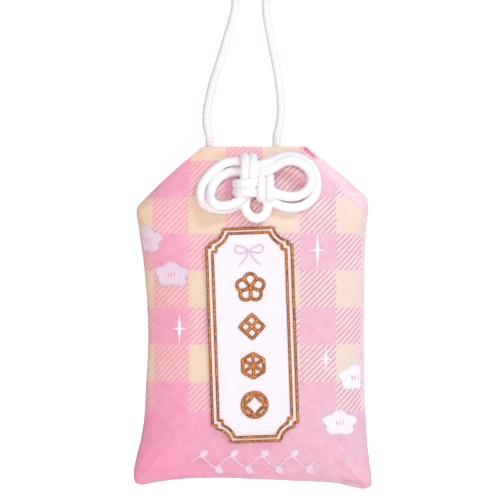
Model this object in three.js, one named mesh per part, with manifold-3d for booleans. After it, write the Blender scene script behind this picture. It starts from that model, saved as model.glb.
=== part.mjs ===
// An omamori charm: a padded brocade pouch with a stitched label, a tied knot and a loop to hang it by.
// Lengths are millimetres, +Z is up and the front faces -Y. The origin is where the loop rests on a hook.
import * as THREE from 'three';
import { mergeVertices } from 'three/addons/utils/BufferGeometryUtils.js';
import Module from 'manifold-3d';

const wasm = await Module();
wasm.setup();

// Pouch, measured to its corners before they are rounded
const POUCH_HEIGHT = 72.2;
const TOP_WIDTH = 20.8;
const SHOULDER_WIDTH = 49.4;
const SHOULDER_DROP = 13.6;
const WAIST_WIDTH = 45.4;
const FOOT_WIDTH = 50.8;
const FOOT_DRAW = 1.7; // how far the bottom edge is drawn up between its corners
const CORNER_ROUND = 3;
const POUCH_THICKNESS = 7.2;
const EDGE_ROLL = 8; // width over which the crown rounds off to the seam
const MOUTH_THICKNESS = 2.4; // the top is pressed flat
const MOUTH_TAPER = 14; // height over which the crown rises below the top
const CLOTH = 0.5;
const SEAM_GAP = 0.3;
const OUTLINE_STEP = 5;
const CORNER_STEPS = 3;
const RING_SHARES = [1, 0.98, 0.94, 0.875, 0.78, 0.62]; // rings of the panels, from the seam inwards

// Filling
const FILL_MARGIN = 1; // how far the filling stays inside the flat of the crown
const CARD_THICKNESS = 0.8;
const PAPER = 0.25;
const TABLET_THICKNESS = 1.2;
const WRAPPER_MARGIN = 1.6; // how far the wrapper stays inside the card's edge
const TABLET_MARGIN = 1.2; // how far the tablet stays inside the wrapper's open ends
const SEAM_THREAD = 0.4;
const SEAM_THREAD_INSET = 0.6;

// Clearances
const FIT = 0.3;
const STITCH_GAP = 0.2;

// Label
const LABEL_WIDTH = 18.3;
const LABEL_DROP = 17.15; // from the pouch's top edge to the label's
const LABEL_RISE = 10.1; // from the pouch's foot to the label's
const LABEL_HEAD = 9.3; // from the label's top to the first emblem
const LABEL_FOOT = 4.6; // from the last emblem to the label's foot
const LABEL_LEAN = 1.6; // degrees, the top leans to the left
const LABEL_THICKNESS = 0.35;
const NOTCH_RADIUS = 2.8;
const NOTCH_STEP = 0.85;
const NOTCH_ARC_STEPS = 4;
const FRAME_LINE = 0.55;
const FRAME_SPACING = 1.05;
const THREAD_THICKNESS = 0.45;

// Stitched ornaments
const EMBLEM_COUNT = 4;
const EMBLEM_SPACE = 1.55;
const EMBLEM_LINE = 0.75;
const BOW_WIDTH = 5.8;
const BOW_HEIGHT = 4.2;
const BOW_LINE = 0.35;
const BOW_DROP = 5.2; // from the label's top to the bow's tie
const VINE_LENGTH = 25.4;
const VINE_RISE = 5.9; // from the pouch's foot to the middle of the vine
const VINE_SWING = 1.1;
const VINE_WAVES = 4;
const VINE_LINE = 0.7;
const LEAF_LENGTH = 1.5;
const PETALS = 5;
const PETAL_VALLEY = 0.72; // radius between two petals over the radius at their tips
const BLOSSOM_RADIUS = 3.7;
const BLOSSOM_SQUEEZE = 0.82; // height over width
const SPARKLE_HEIGHT = 6.2;
const SPARKLE_WIDTH = 3;
const SPARKLE_WAIST = 0.18; // width between two points over the width at the points
const MOTIF_EDGE = 0.9; // how far motifs stay from the seam

// Cord
const CORD_DIAMETER = 1.8;
const CORD_SIDES = 8;
const HOLE_CLEARANCE = 0.3;
const PAIR_SPREAD = 1.6; // two strands pressed side by side
const BACK_BAR_THICKNESS = 1;
const HANG_HEIGHT = 34.9; // the hook's seat above the pouch's top edge

const CORD_RADIUS = CORD_DIAMETER / 2;
const HALF_THICKNESS = POUCH_THICKNESS / 2;
const LABEL_HEIGHT = POUCH_HEIGHT - LABEL_DROP - LABEL_RISE;
const EMBLEM_PITCH = (LABEL_HEIGHT - LABEL_HEAD - LABEL_FOOT + EMBLEM_SPACE) / EMBLEM_COUNT;
const EMBLEM_RADIUS = (EMBLEM_PITCH - EMBLEM_SPACE) / 2;
const POUCH_MIDDLE = new THREE.Vector2(0, -(POUCH_HEIGHT + CORNER_ROUND) / 2);

const spot = (x, z) => new THREE.Vector2(x, z);

// Joins and cuts
function toSolid(geometry) {
  const bare = geometry.clone();
  bare.deleteAttribute('normal');
  bare.deleteAttribute('uv');
  const merged = mergeVertices(bare, 1e-4);
  const vertProperties = merged.getAttribute('position').array;
  const triVerts = Uint32Array.from(merged.getIndex().array);
  return new wasm.Manifold(new wasm.Mesh({ numProp: 3, vertProperties, triVerts }));
}

function toGeometry(solid) {
  const { vertProperties, triVerts } = solid.getMesh();
  const geometry = new THREE.BufferGeometry();
  geometry.setAttribute('position', new THREE.BufferAttribute(vertProperties, 3));
  geometry.setIndex(new THREE.BufferAttribute(triVerts, 1));
  geometry.computeVertexNormals();
  return geometry;
}

const joined = (geometries) => toGeometry(geometries.map(toSolid).reduce((whole, piece) => whole.add(piece)));

function cut(geometry, tools) {
  const rest = tools.map(toSolid).reduce((solid, tool) => solid.subtract(tool), toSolid(geometry));
  return toGeometry(rest);
}

// A line moved to its left, with mitred corners: a closed line that runs anticlockwise moves inwards
function offsetLine(line, distance, closed = true) {
  const last = line.length - 1;
  return line.map((point, i) => {
    const before = line[i > 0 ? i - 1 : last];
    const after = line[i < last ? i + 1 : 0];
    const arriving = point.clone().sub(before).normalize();
    const leaving = after.clone().sub(point).normalize();
    if (!closed && i === 0) arriving.copy(leaving);
    if (!closed && i === last) leaving.copy(arriving);
    const left = spot(-arriving.y - leaving.y, arriving.x + leaving.x);
    return point.clone().addScaledVector(left, distance / (1 + arriving.dot(leaving)));
  });
}

// The pouch's outline, anticlockwise as seen from the front
function pouchOutline() {
  const top = TOP_WIDTH / 2;
  const shoulder = SHOULDER_WIDTH / 2;
  const foot = FOOT_WIDTH / 2;
  const waist = WAIST_WIDTH - (shoulder + foot) / 2;
  const waistDrop = (SHOULDER_DROP + POUCH_HEIGHT) / 2;
  const straight = null;
  const corners = [
    { at: spot(-top, 0), bend: straight },
    { at: spot(-shoulder, -SHOULDER_DROP), bend: spot(-waist, -waistDrop) },
    { at: spot(-foot, -POUCH_HEIGHT), bend: spot(0, -POUCH_HEIGHT + 2 * FOOT_DRAW) },
    { at: spot(foot, -POUCH_HEIGHT), bend: spot(waist, -waistDrop) },
    { at: spot(shoulder, -SHOULDER_DROP), bend: straight },
    { at: spot(top, 0), bend: straight },
  ];
  const towards = (from, to) => to.clone().sub(from).setLength(CORNER_ROUND).add(from);
  const path = new THREE.Path();
  corners.forEach(({ at, bend }, i) => {
    const previous = corners.at(i - 1);
    const next = corners[(i + 1) % corners.length];
    const enter = towards(at, previous.bend ?? previous.at);
    const leave = towards(at, bend ?? next.at);
    if (i === 0) path.moveTo(enter.x, enter.y);
    else if (previous.bend) path.quadraticCurveTo(previous.bend.x, previous.bend.y, enter.x, enter.y);
    else path.lineTo(enter.x, enter.y);
    path.quadraticCurveTo(at.x, at.y, leave.x, leave.y);
  });
  path.closePath();
  return path.curves.flatMap((curve) => {
    const steps = Math.max(CORNER_STEPS, Math.round(curve.getLength() / OUTLINE_STEP));
    return curve.getPoints(steps).slice(0, -1);
  });
}

const OUTLINE = pouchOutline();

// How far a point of the front view lies inside the outline
function insideDistance(x, z) {
  const point = new THREE.Vector3(x, z, 0);
  const nearest = new THREE.Vector3();
  let least = Infinity;
  let inside = false;
  OUTLINE.forEach((a, i) => {
    const b = OUTLINE[(i + 1) % OUTLINE.length];
    const edge = new THREE.Line3(new THREE.Vector3(a.x, a.y, 0), new THREE.Vector3(b.x, b.y, 0));
    least = Math.min(least, edge.closestPointToPoint(point, true, nearest).distanceTo(point));
    const crosses = a.y > z !== b.y > z;
    if (crosses && x < a.x + ((z - a.y) * (b.x - a.x)) / (b.y - a.y)) inside = !inside;
  });
  return inside ? least : -least;
}

// Half the pouch's thickness at a point of the front view, on its outside or on a skin that lies further in
function halfDepth(x, z, inset = 0) {
  const reach = Math.max(0, insideDistance(x, z) - inset);
  const share = Math.min(1, reach / (EDGE_ROLL - inset));
  const roll = Math.sqrt(1 - (1 - share) ** 2);
  const rise = THREE.MathUtils.smoothstep(-z, 0, MOUTH_TAPER);
  const crown = THREE.MathUtils.lerp(MOUTH_THICKNESS, POUCH_THICKNESS, rise) / 2 - inset;
  return THREE.MathUtils.lerp(SEAM_GAP / 2, crown, roll);
}

// A closed sheet between two skins, each made of rings around a middle point
function closedSheet(middle, shares, outer, inner, facesBack = false) {
  const positions = [];
  for (const skin of [outer, inner]) {
    for (const share of shares) {
      for (const corner of skin.edge) {
        const at = middle.clone().lerp(corner, share);
        positions.push(at.x, skin.y(at.x, at.y), at.y);
      }
    }
    positions.push(middle.x, skin.y(middle.x, middle.y), middle.y);
  }
  const count = outer.edge.length;
  const skinSize = shares.length * count + 1;
  const index = [];
  const face = (a, b, c, turned) => index.push(a, turned ? c : b, turned ? b : c);
  for (let i = 0; i < count; i += 1) {
    const next = (i + 1) % count;
    for (const [start, turned] of [[0, facesBack], [skinSize, !facesBack]]) {
      for (let ring = start; ring < start + (shares.length - 1) * count; ring += count) {
        face(ring + i, ring + next, ring + count + next, turned);
        face(ring + i, ring + count + next, ring + count + i, turned);
      }
      const last = start + (shares.length - 1) * count;
      face(last + i, last + next, start + skinSize - 1, turned);
    }
    face(i, skinSize + i, skinSize + next, facesBack);
    face(i, skinSize + next, next, facesBack);
  }
  const geometry = new THREE.BufferGeometry();
  geometry.setAttribute('position', new THREE.Float32BufferAttribute(positions, 3));
  geometry.setIndex(index);
  geometry.computeVertexNormals();
  return geometry;
}

// A flat plate with its back at a distance in front of the pouch's middle plane
function plate(edge, hole, thickness, distance) {
  const shape = new THREE.Shape(edge);
  if (hole) shape.holes.push(new THREE.Path(hole));
  const geometry = new THREE.ExtrudeGeometry(shape, { depth: thickness, bevelEnabled: false });
  return geometry.rotateX(Math.PI / 2).translate(0, -distance, 0);
}

// Lines of thread as flat bands
const ringLine = (line, width, distance) =>
  plate(offsetLine(line, -width / 2), offsetLine(line, width / 2), THREAD_THICKNESS, distance);

function openLine(line, width, distance) {
  const right = offsetLine(line, -width / 2, false);
  const left = offsetLine(line, width / 2, false);
  return plate([...right, ...left.reverse()], null, THREAD_THICKNESS, distance);
}

// Points around a centre, at a radius that may depend on the angle
function around(count, radiusAt, turn = 0) {
  return Array.from({ length: count }, (_, i) => {
    const angle = turn + (2 * Math.PI * i) / count;
    return spot(Math.cos(angle), Math.sin(angle)).multiplyScalar(radiusAt(angle));
  });
}

const rectangle = (width, low, high) => [
  spot(-width / 2, low),
  spot(width / 2, low),
  spot(width / 2, high),
  spot(-width / 2, high),
];

// A cord along a route of points
function strand(points, radius = CORD_RADIUS, steps = points.length * 2, sides = CORD_SIDES) {
  const route = new THREE.CatmullRomCurve3(points);
  const section = new THREE.Shape(around(sides, () => radius, Math.PI / sides));
  return new THREE.ExtrudeGeometry(section, { steps, extrudePath: route, bevelEnabled: false });
}

// A point of the knot: across, below the top edge, and how far its strand is lifted off the cloth
function onFront([x, z, lift]) {
  return new THREE.Vector3(x, -(halfDepth(x, z) + FIT + CORD_RADIUS + lift), z);
}

const charm = new THREE.Group();
const pouch = new THREE.Group();
const label = new THREE.Group();
pouch.position.z = -HANG_HEIGHT;
label.position.z = -LABEL_DROP - LABEL_HEIGHT / 2;
label.rotation.y = THREE.MathUtils.degToRad(-LABEL_LEAN);
charm.add(pouch);
pouch.add(label);

const brocade = () => new THREE.MeshStandardMaterial({ color: '#f2b3c4', roughness: 0.6 });
const satin = () => new THREE.MeshStandardMaterial({ color: '#f8f2f5', roughness: 0.45 });
const copper = () => new THREE.MeshStandardMaterial({ color: '#d59a80', roughness: 0.4 });
const lilac = () => new THREE.MeshStandardMaterial({ color: '#d9a9c4', roughness: 0.5 });
const whiteThread = () => new THREE.MeshStandardMaterial({ color: '#f6eef4', roughness: 0.5 });
const whiteCord = () => new THREE.MeshStandardMaterial({ color: '#f4edf4', roughness: 0.7 });
const cotton = () => new THREE.MeshStandardMaterial({ color: '#f3efe8', roughness: 0.95 });
const board = () => new THREE.MeshStandardMaterial({ color: '#c9b79a', roughness: 0.9 });
const paper = () => new THREE.MeshStandardMaterial({ color: '#f5f0e4', roughness: 0.85 });
const cedar = () => new THREE.MeshStandardMaterial({ color: '#d8b483', roughness: 0.7 });

function add(group, name, geometry, material) {
  const mesh = new THREE.Mesh(geometry, material);
  mesh.name = name;
  group.add(mesh);
}

// Cord legs: from under the knot through the pouch and up behind its top edge, as distances back and heights
const LEG_ROUTE = [
  [-1.2, -5.9], [-0.3, -5.05], [0.6, -4.2], [1.4, -3.3], [2, -2.2], [2.15, -1], [1.75, -0.2], [1.4, 0.3],
];
const TUNNEL_ROUTE = [[-3.3, -7.8], [-1.2, -5.9], [-0.3, -5.05], [0.6, -4.2], [1.4, -3.3], [2.6, -1.9]];
const LOOP_ENDS = { left: -9.2, right: 5 };
const HINGE = { y: 0.8, z: 1.9 }; // where the loop turns on its legs

const legPoints = (x, route) => route.map(([y, z]) => new THREE.Vector3(x, y, z));
const tunnel = (x) => strand(legPoints(x, TUNNEL_ROUTE), CORD_RADIUS + HOLE_CLEARANCE);

function addPanels() {
  const tunnels = Object.values(LOOP_ENDS).map(tunnel);
  const insideEdge = offsetLine(OUTLINE, CLOTH);
  for (const [name, side] of [['pouch_front', -1], ['pouch_back', 1]]) {
    const outer = { edge: OUTLINE, y: (x, z) => side * halfDepth(x, z) };
    const inner = { edge: insideEdge, y: (x, z) => side * halfDepth(x, z, CLOTH) };
    const panel = closedSheet(POUCH_MIDDLE, RING_SHARES, outer, inner, side > 0);
    add(pouch, name, cut(panel, tunnels), brocade());
  }
}

function addSeamThreads() {
  const line = offsetLine(OUTLINE, CLOTH + SEAM_THREAD_INSET);
  const low = -POUCH_HEIGHT + 2 * CORNER_ROUND;
  const onSide = ({ y }) => y < -SHOULDER_DROP - CORNER_ROUND && y > low;
  const runs = {
    left_seam_thread: line.filter((point) => point.x < 0 && onSide(point)),
    right_seam_thread: line.filter((point) => point.x > 0 && onSide(point)),
    bottom_seam_thread: line.filter(({ x, y }) => y < low && Math.abs(x) < FOOT_WIDTH / 2 - CORNER_ROUND),
  };
  for (const [name, run] of Object.entries(runs)) {
    const points = run.map(({ x, y }) => new THREE.Vector3(x, 0, y));
    add(pouch, name, strand(points, SEAM_THREAD / 2, points.length, 5), whiteThread());
  }
}

// The filling, stacked from the back panel to the front panel
function addFilling() {
  const width = WAIST_WIDTH - 2 * (EDGE_ROLL + FILL_MARGIN);
  const high = -MOUTH_TAPER - FILL_MARGIN;
  const low = -POUCH_HEIGHT + FOOT_DRAW + EDGE_ROLL + FILL_MARGIN;
  const insideBack = -(HALF_THICKNESS - CLOTH);
  const cardAt = insideBack + FIT;
  add(pouch, 'stiffener_card', plate(rectangle(width, low, high), null, CARD_THICKNESS, cardAt), board());

  const wrapperAt = cardAt + CARD_THICKNESS + FIT;
  const wrapperDepth = TABLET_THICKNESS + 2 * (FIT + PAPER);
  const wrapperWidth = width - 2 * WRAPPER_MARGIN;
  const sleeve = new THREE.Shape(rectangle(wrapperWidth, -wrapperDepth, 0));
  sleeve.holes.push(new THREE.Path(rectangle(wrapperWidth - 2 * PAPER, -wrapperDepth + PAPER, -PAPER)));
  const wrapperLength = high - low - 2 * WRAPPER_MARGIN;
  const wrapper = new THREE.ExtrudeGeometry(sleeve, { depth: wrapperLength, bevelEnabled: false });
  wrapper.translate(0, -wrapperAt, low + WRAPPER_MARGIN);
  add(pouch, 'paper_wrapper', wrapper, paper());

  const tabletInset = WRAPPER_MARGIN + TABLET_MARGIN;
  const tabletEdge = rectangle(wrapperWidth - 2 * (PAPER + FIT), low + tabletInset, high - tabletInset);
  add(pouch, 'wooden_tablet', plate(tabletEdge, null, TABLET_THICKNESS, wrapperAt + PAPER + FIT), cedar());

  const waddingAt = wrapperAt + wrapperDepth + FIT;
  const waddingThickness = HALF_THICKNESS - CLOTH - FIT - waddingAt;
  const wadding = plate(rectangle(width, low, high), null, waddingThickness, waddingAt);
  add(pouch, 'wadding_sheet', wadding, cotton());
}

// The label's edge: a hollow quarter circle and a small step at each corner
function labelEdge() {
  const corner = [];
  const pivot = spot(LABEL_WIDTH / 2 - NOTCH_STEP, LABEL_HEIGHT / 2);
  corner.push(spot(LABEL_WIDTH / 2, pivot.y - NOTCH_RADIUS - NOTCH_STEP));
  corner.push(spot(pivot.x, pivot.y - NOTCH_RADIUS - NOTCH_STEP));
  for (let i = 0; i <= NOTCH_ARC_STEPS; i += 1) {
    const angle = -Math.PI / 2 - (Math.PI / 2) * (i / NOTCH_ARC_STEPS);
    corner.push(spot(pivot.x + NOTCH_RADIUS * Math.cos(angle), pivot.y + NOTCH_RADIUS * Math.sin(angle)));
  }
  const mirrored = (x, y) => corner.map((point) => spot(point.x * x, point.y * y));
  return [...corner, ...mirrored(-1, 1).reverse(), ...mirrored(-1, -1), ...mirrored(1, -1).reverse()];
}

function addLabel() {
  const edge = labelEdge();
  const labelAt = HALF_THICKNESS + STITCH_GAP;
  const threadAt = labelAt + LABEL_THICKNESS + STITCH_GAP;
  add(label, 'label_panel', plate(edge, null, LABEL_THICKNESS, labelAt), satin());
  const outerLine = offsetLine(edge, FRAME_LINE / 2);
  add(label, 'label_frame_outer', ringLine(outerLine, FRAME_LINE, threadAt), copper());
  const innerLine = offsetLine(edge, FRAME_LINE / 2 + FRAME_SPACING);
  add(label, 'label_frame_inner', ringLine(innerLine, FRAME_LINE, threadAt), copper());

  const emblems = {
    emblem_blossom: blossomLines,
    emblem_lozenge: lozengeLines,
    emblem_hemp_leaf: hempLeafLines,
    emblem_rings: ringsLines,
  };
  const top = LABEL_HEIGHT / 2;
  Object.entries(emblems).forEach(([name, lines], i) => {
    const height = top - LABEL_HEAD - EMBLEM_RADIUS - i * EMBLEM_PITCH;
    add(label, name, joined(lines(threadAt)).translate(0, 0, height), copper());
  });
  add(label, 'bow_motif', joined(bowLines(threadAt)).translate(0, 0, top - BOW_DROP), lilac());
}

// The radius of a blossom's edge, over the radius at its petals' tips
function petalEdge(angle) {
  const lobe = Math.abs(Math.cos((PETALS / 2) * (angle - Math.PI / 2)));
  return THREE.MathUtils.lerp(PETAL_VALLEY, 1, lobe);
}

// Five petals, with a line from the middle to each gap between them
function blossomLines(distance) {
  const outer = EMBLEM_RADIUS - EMBLEM_LINE / 2;
  const ring = around(PETALS * 6, (angle) => outer * petalEdge(angle));
  const gaps = around(PETALS, () => outer * PETAL_VALLEY, Math.PI / 2 + Math.PI / PETALS);
  return [
    ringLine(ring, EMBLEM_LINE, distance),
    ...gaps.map((gap) => openLine([spot(0, 0), gap], EMBLEM_LINE, distance)),
  ];
}

// Four lozenges that meet corner to corner
function lozengeLines(distance) {
  const half = (EMBLEM_RADIUS - EMBLEM_LINE) / 2;
  return around(4, () => half).map((centre) => {
    const line = around(4, () => half).map((point) => point.add(centre));
    return ringLine(line, EMBLEM_LINE, distance);
  });
}

// A hexagon with a six-rayed star
function hempLeafLines(distance) {
  const corners = around(6, () => EMBLEM_RADIUS - EMBLEM_LINE, Math.PI / 6);
  const rays = [0, 1, 2].map((i) => openLine([corners[i], corners[i + 3]], EMBLEM_LINE, distance));
  return [ringLine(corners, EMBLEM_LINE, distance), ...rays];
}

// A circle with four arcs that bow in between its quarter points
function ringsLines(distance) {
  const radius = EMBLEM_RADIUS - EMBLEM_LINE;
  const circle = around(20, () => radius);
  const hollow = (angle) => radius / (Math.abs(Math.cos(angle)) + Math.abs(Math.sin(angle))) ** 1.6;
  return [ringLine(circle, EMBLEM_LINE, distance), ringLine(around(20, hollow), EMBLEM_LINE, distance)];
}

// Two drooping loops, two tails and the knot between them
function bowLines(distance) {
  const loop = [
    spot(0, 0.1), spot(0.28, 0.3), spot(0.46, 0.32), spot(0.5, 0.12), spot(0.4, -0.04), spot(0.2, -0.02),
  ];
  const tail = [spot(0.02, 0), spot(0.16, -0.34), spot(0.36, -0.62)];
  const sized = (line, side) => line.map(({ x, y }) => spot(side * x * BOW_WIDTH, y * BOW_HEIGHT));
  const tie = around(6, () => BOW_LINE * 1.5);
  return [
    plate(tie, null, THREAD_THICKNESS, distance),
    ringLine(sized(loop, 1).reverse(), BOW_LINE, distance),
    ringLine(sized(loop, -1), BOW_LINE, distance),
    openLine(sized(tail, 1), BOW_LINE, distance),
    openLine(sized(tail, -1), BOW_LINE, distance),
  ];
}

// Lays a flat ornament on the curved front
function laidOnFront(geometry) {
  const position = geometry.getAttribute('position');
  for (let i = 0; i < position.count; i += 1) {
    position.setY(i, position.getY(i) - halfDepth(position.getX(i), position.getZ(i)) - FIT);
  }
  return geometry;
}

function addVine() {
  const steps = VINE_WAVES * 8;
  const line = Array.from({ length: steps + 1 }, (_, i) => {
    const wave = VINE_SWING * Math.sin((2 * Math.PI * VINE_WAVES * i) / steps);
    return spot(VINE_LENGTH * (i / steps - 0.5), wave + VINE_RISE - POUCH_HEIGHT);
  });
  const leafShape = [spot(0, -0.35), spot(0.35, 0.5), spot(0, 1.1), spot(-0.35, 0.5)];
  const leaves = Array.from({ length: VINE_WAVES * 2 }, (_, i) => {
    const root = line[i * 4 + 2];
    const length = i % 2 ? LEAF_LENGTH : -LEAF_LENGTH;
    const edge = leafShape.map((point) => root.clone().addScaledVector(point, length));
    return plate(edge, null, THREAD_THICKNESS, 0);
  });
  const vine = joined([openLine(line, VINE_LINE, 0), ...leaves]);
  add(pouch, 'vine_border', laidOnFront(vine), whiteThread());
}

// A place on the front, as shares of the way out to the side seam and down to the foot
function onCloth([across, down]) {
  const z = -down * POUCH_HEIGHT;
  const edge = OUTLINE.findIndex((point, i) => i > 0 && point.y > z !== OUTLINE[i - 1].y > z);
  const [above, below] = [OUTLINE[edge - 1], OUTLINE[edge]];
  const halfWidth = -THREE.MathUtils.mapLinear(z, above.y, below.y, above.x, below.x);
  return spot(across * (halfWidth - 2 * MOTIF_EDGE), z);
}

// A stitched motif on the curved front, which stops short of the seam
function motif(centre, offsets) {
  const edge = offsets.map((offset) => {
    const point = centre.clone().add(offset);
    while (insideDistance(point.x, point.y) < MOTIF_EDGE) point.lerp(centre, 0.05);
    return point;
  });
  const back = (x, z) => -(halfDepth(x, z) + FIT);
  const front = (x, z) => back(x, z) - THREAD_THICKNESS;
  return closedSheet(centre, [1, 0.5], { edge, y: front }, { edge, y: back });
}

function addBlossoms() {
  const places = {
    blossom_upper_left: [-1, 0.274],
    blossom_left: [-0.8, 0.375],
    blossom_right: [0.99, 0.673],
    blossom_lower_right: [0.84, 0.805],
  };
  const offsets = around(PETALS * 4, (angle) => BLOSSOM_RADIUS * petalEdge(angle));
  offsets.forEach((offset) => offset.setY(offset.y * BLOSSOM_SQUEEZE));
  for (const [name, place] of Object.entries(places)) {
    add(pouch, name, motif(onCloth(place), offsets), whiteThread());
  }
}

// A star's four points and the hollows between them
function starOffsets(width, height) {
  const hollow = (SPARKLE_WAIST * width) / 2;
  const quarter = [spot(width / 2, 0), spot(hollow, hollow), spot(0, height / 2), spot(-hollow, hollow)];
  return [...quarter, ...quarter.map((point) => point.clone().negate())];
}

function addSparkles() {
  const places = {
    sparkle_left: { place: [-0.745, 0.532], size: 1 },
    sparkle_upper_right: { place: [0.615, 0.305], size: 1.2 },
    sparkle_right: { place: [0.735, 0.619], size: 0.92 },
  };
  for (const [name, { place, size }] of Object.entries(places)) {
    const offsets = starOffsets(SPARKLE_WIDTH * size, SPARKLE_HEIGHT * size);
    add(pouch, name, motif(onCloth(place), offsets), whiteThread());
  }
}

// The knot's routes, as points across, below the top edge and lifted off the cloth
const EAR_ROUTES = {
  left_ear_outer: [
    [-3.1, -3.5, 0], [-4.4, -3.5, 0], [-6, -3.8, 0], [-8.4, -5.6, 0], [-10.3, -7.8, 0], [-10.9, -9.7, 0],
    [-10.6, -11.7, 0], [-9.4, -12.9, 0], [-7.7, -13.4, 0], [-5.7, -13.5, 0], [-3.9, -13, 0],
  ],
  left_ear_inner: [
    [-3.1, -5.6, 0], [-5, -5.8, 0], [-7, -6.9, 0], [-8.4, -8.7, 0.3], [-8.9, -10.4, 1.1], [-8.6, -11.8, 1.9],
    [-7.4, -12.7, 2.1], [-5.7, -12.8, 2.1], [-3.8, -12.3, 2],
  ],
  right_ear_outer: [
    [4.8, -3.1, 0], [6.2, -2.5, 0], [7.9, -2.4, 0], [10.3, -2.9, 0], [12.3, -4.5, 0], [13.3, -6.8, 0],
    [13.2, -9.6, 0], [11.9, -11.8, 0], [9.7, -13, 0], [7.1, -13.1, 0], [4.9, -12.3, 0],
  ],
  right_ear_inner: [
    [5.1, -4.5, 2], [6.4, -3.6, 2], [8, -3.3, 2], [10.2, -4, 2], [11.8, -5.6, 2], [12.2, -7.6, 2],
    [11.4, -9.4, 1.6], [9.5, -10.6, 1], [7.3, -10.8, 0.8], [4.9, -10.2, 1],
  ],
  small_loop: [
    [-1.4, -11.5, 0.5], [-1.6, -13, 0.5], [-0.9, -14.6, 0.3], [0.7, -15.4, 0.2], [2.3, -14.7, 0.3],
    [3, -13.2, 0.5], [2.8, -11.6, 0.5],
  ],
};
const PAIR_ROUTES = {
  knot_top_pair: [[-0.9, -2.7, 1.3], [-0.9, -3.7, 2.7], [-0.9, -5.2, 3], [-0.9, -6.8, 1.6]],
  knot_right_pair: [[3.7, -4.9, 1.4], [3.1, -4.9, 2.6], [2.3, -4.9, 2.9], [1.6, -4.9, 1.9]],
  knot_bottom_pair: [[2.6, -11.1, 1.3], [2.6, -10.2, 2.7], [2.6, -9, 3], [2.6, -7.7, 1.6]],
  knot_left_pair: [[-3.4, -9.1, 1.3], [-2.5, -9.1, 2.7], [-1.2, -9.1, 3], [0.2, -9.1, 1.6]],
};
const SPREAD_ALONG = { knot_top_pair: 'x', knot_right_pair: 'z', knot_bottom_pair: 'x', knot_left_pair: 'z' };

// The cord that crosses behind the knot, between the places where its pairs turn in
function crossedBack() {
  const [top, right, bottom, left] = Object.values(PAIR_ROUTES).map(([[x, z]]) => spot(x, z));
  const turn = CORD_RADIUS / 2;
  const upright = rectangle(bottom.x - top.x, bottom.y + turn, top.y - turn);
  const crossing = rectangle(right.x - left.x - 2 * turn, left.y, right.y);
  return joined([
    plate(upright, null, BACK_BAR_THICKNESS, 0).translate((top.x + bottom.x) / 2, 0, 0),
    plate(crossing, null, BACK_BAR_THICKNESS, 0).translate((left.x + right.x) / 2 + turn, 0, 0),
  ]);
}

function addKnot() {
  for (const [name, points] of Object.entries(EAR_ROUTES)) {
    add(pouch, name, strand(points.map(onFront)), whiteCord());
  }
  for (const [name, points] of Object.entries(PAIR_ROUTES)) {
    const strands = [-PAIR_SPREAD / 2, PAIR_SPREAD / 2].map((shift) => {
      const route = points.map(onFront);
      route.forEach((point) => (point[SPREAD_ALONG[name]] += shift));
      return strand(route);
    });
    add(pouch, name, joined(strands), whiteCord());
  }
  add(pouch, 'knot_back', laidOnFront(crossedBack()), whiteCord());
}

function addLegs() {
  for (const [side, x] of Object.entries(LOOP_ENDS)) {
    add(pouch, `${side}_cord_leg`, strand(legPoints(x, LEG_ROUTE)), whiteCord());
  }
}

// The hanging loop's route, as points across and above the pouch's top edge
const LOOP_ROUTE = [
  [-9.2, 1.9], [-9.7, 4], [-9.8, 6.6], [-9.2, 10], [-8.3, 13.8], [-6.9, 18], [-5.5, 22.6], [-4.2, 27],
  [-3.7, 29.6], [-3.8, 32], [-3.1, 34.2], [-1.8, 35.5], [-0.4, 35.8], [1, 35.4], [2.3, 34.2], [2.9, 32],
  [2.7, 29.5], [3, 26.6], [3.9, 21.7], [4.9, 16.7], [5.6, 12.1], [5.9, 8.3], [5.7, 4.9], [5, 1.9],
];

function addHangingLoop() {
  const lean = (z) => HINGE.y * (1 - (z - HINGE.z) / (HANG_HEIGHT - HINGE.z));
  const points = LOOP_ROUTE.map(([x, z]) => new THREE.Vector3(x, lean(z), z - HANG_HEIGHT));
  const ends = [points[0], points.at(-1)].map(({ x, y, z }) => {
    const ball = new THREE.SphereGeometry(CORD_RADIUS, CORD_SIDES, CORD_SIDES / 2);
    return ball.translate(x, y, z);
  });
  add(charm, 'hanging_loop', joined([strand(points), ...ends]), whiteCord());
}

addPanels();
addSeamThreads();
addFilling();
addLabel();
addVine();
addBlossoms();
addSparkles();
addLegs();
addKnot();
addHangingLoop();

export default charm;
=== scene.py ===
import math

import bpy
import numpy as np
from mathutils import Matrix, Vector
from mathutils.bvhtree import BVHTree


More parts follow.
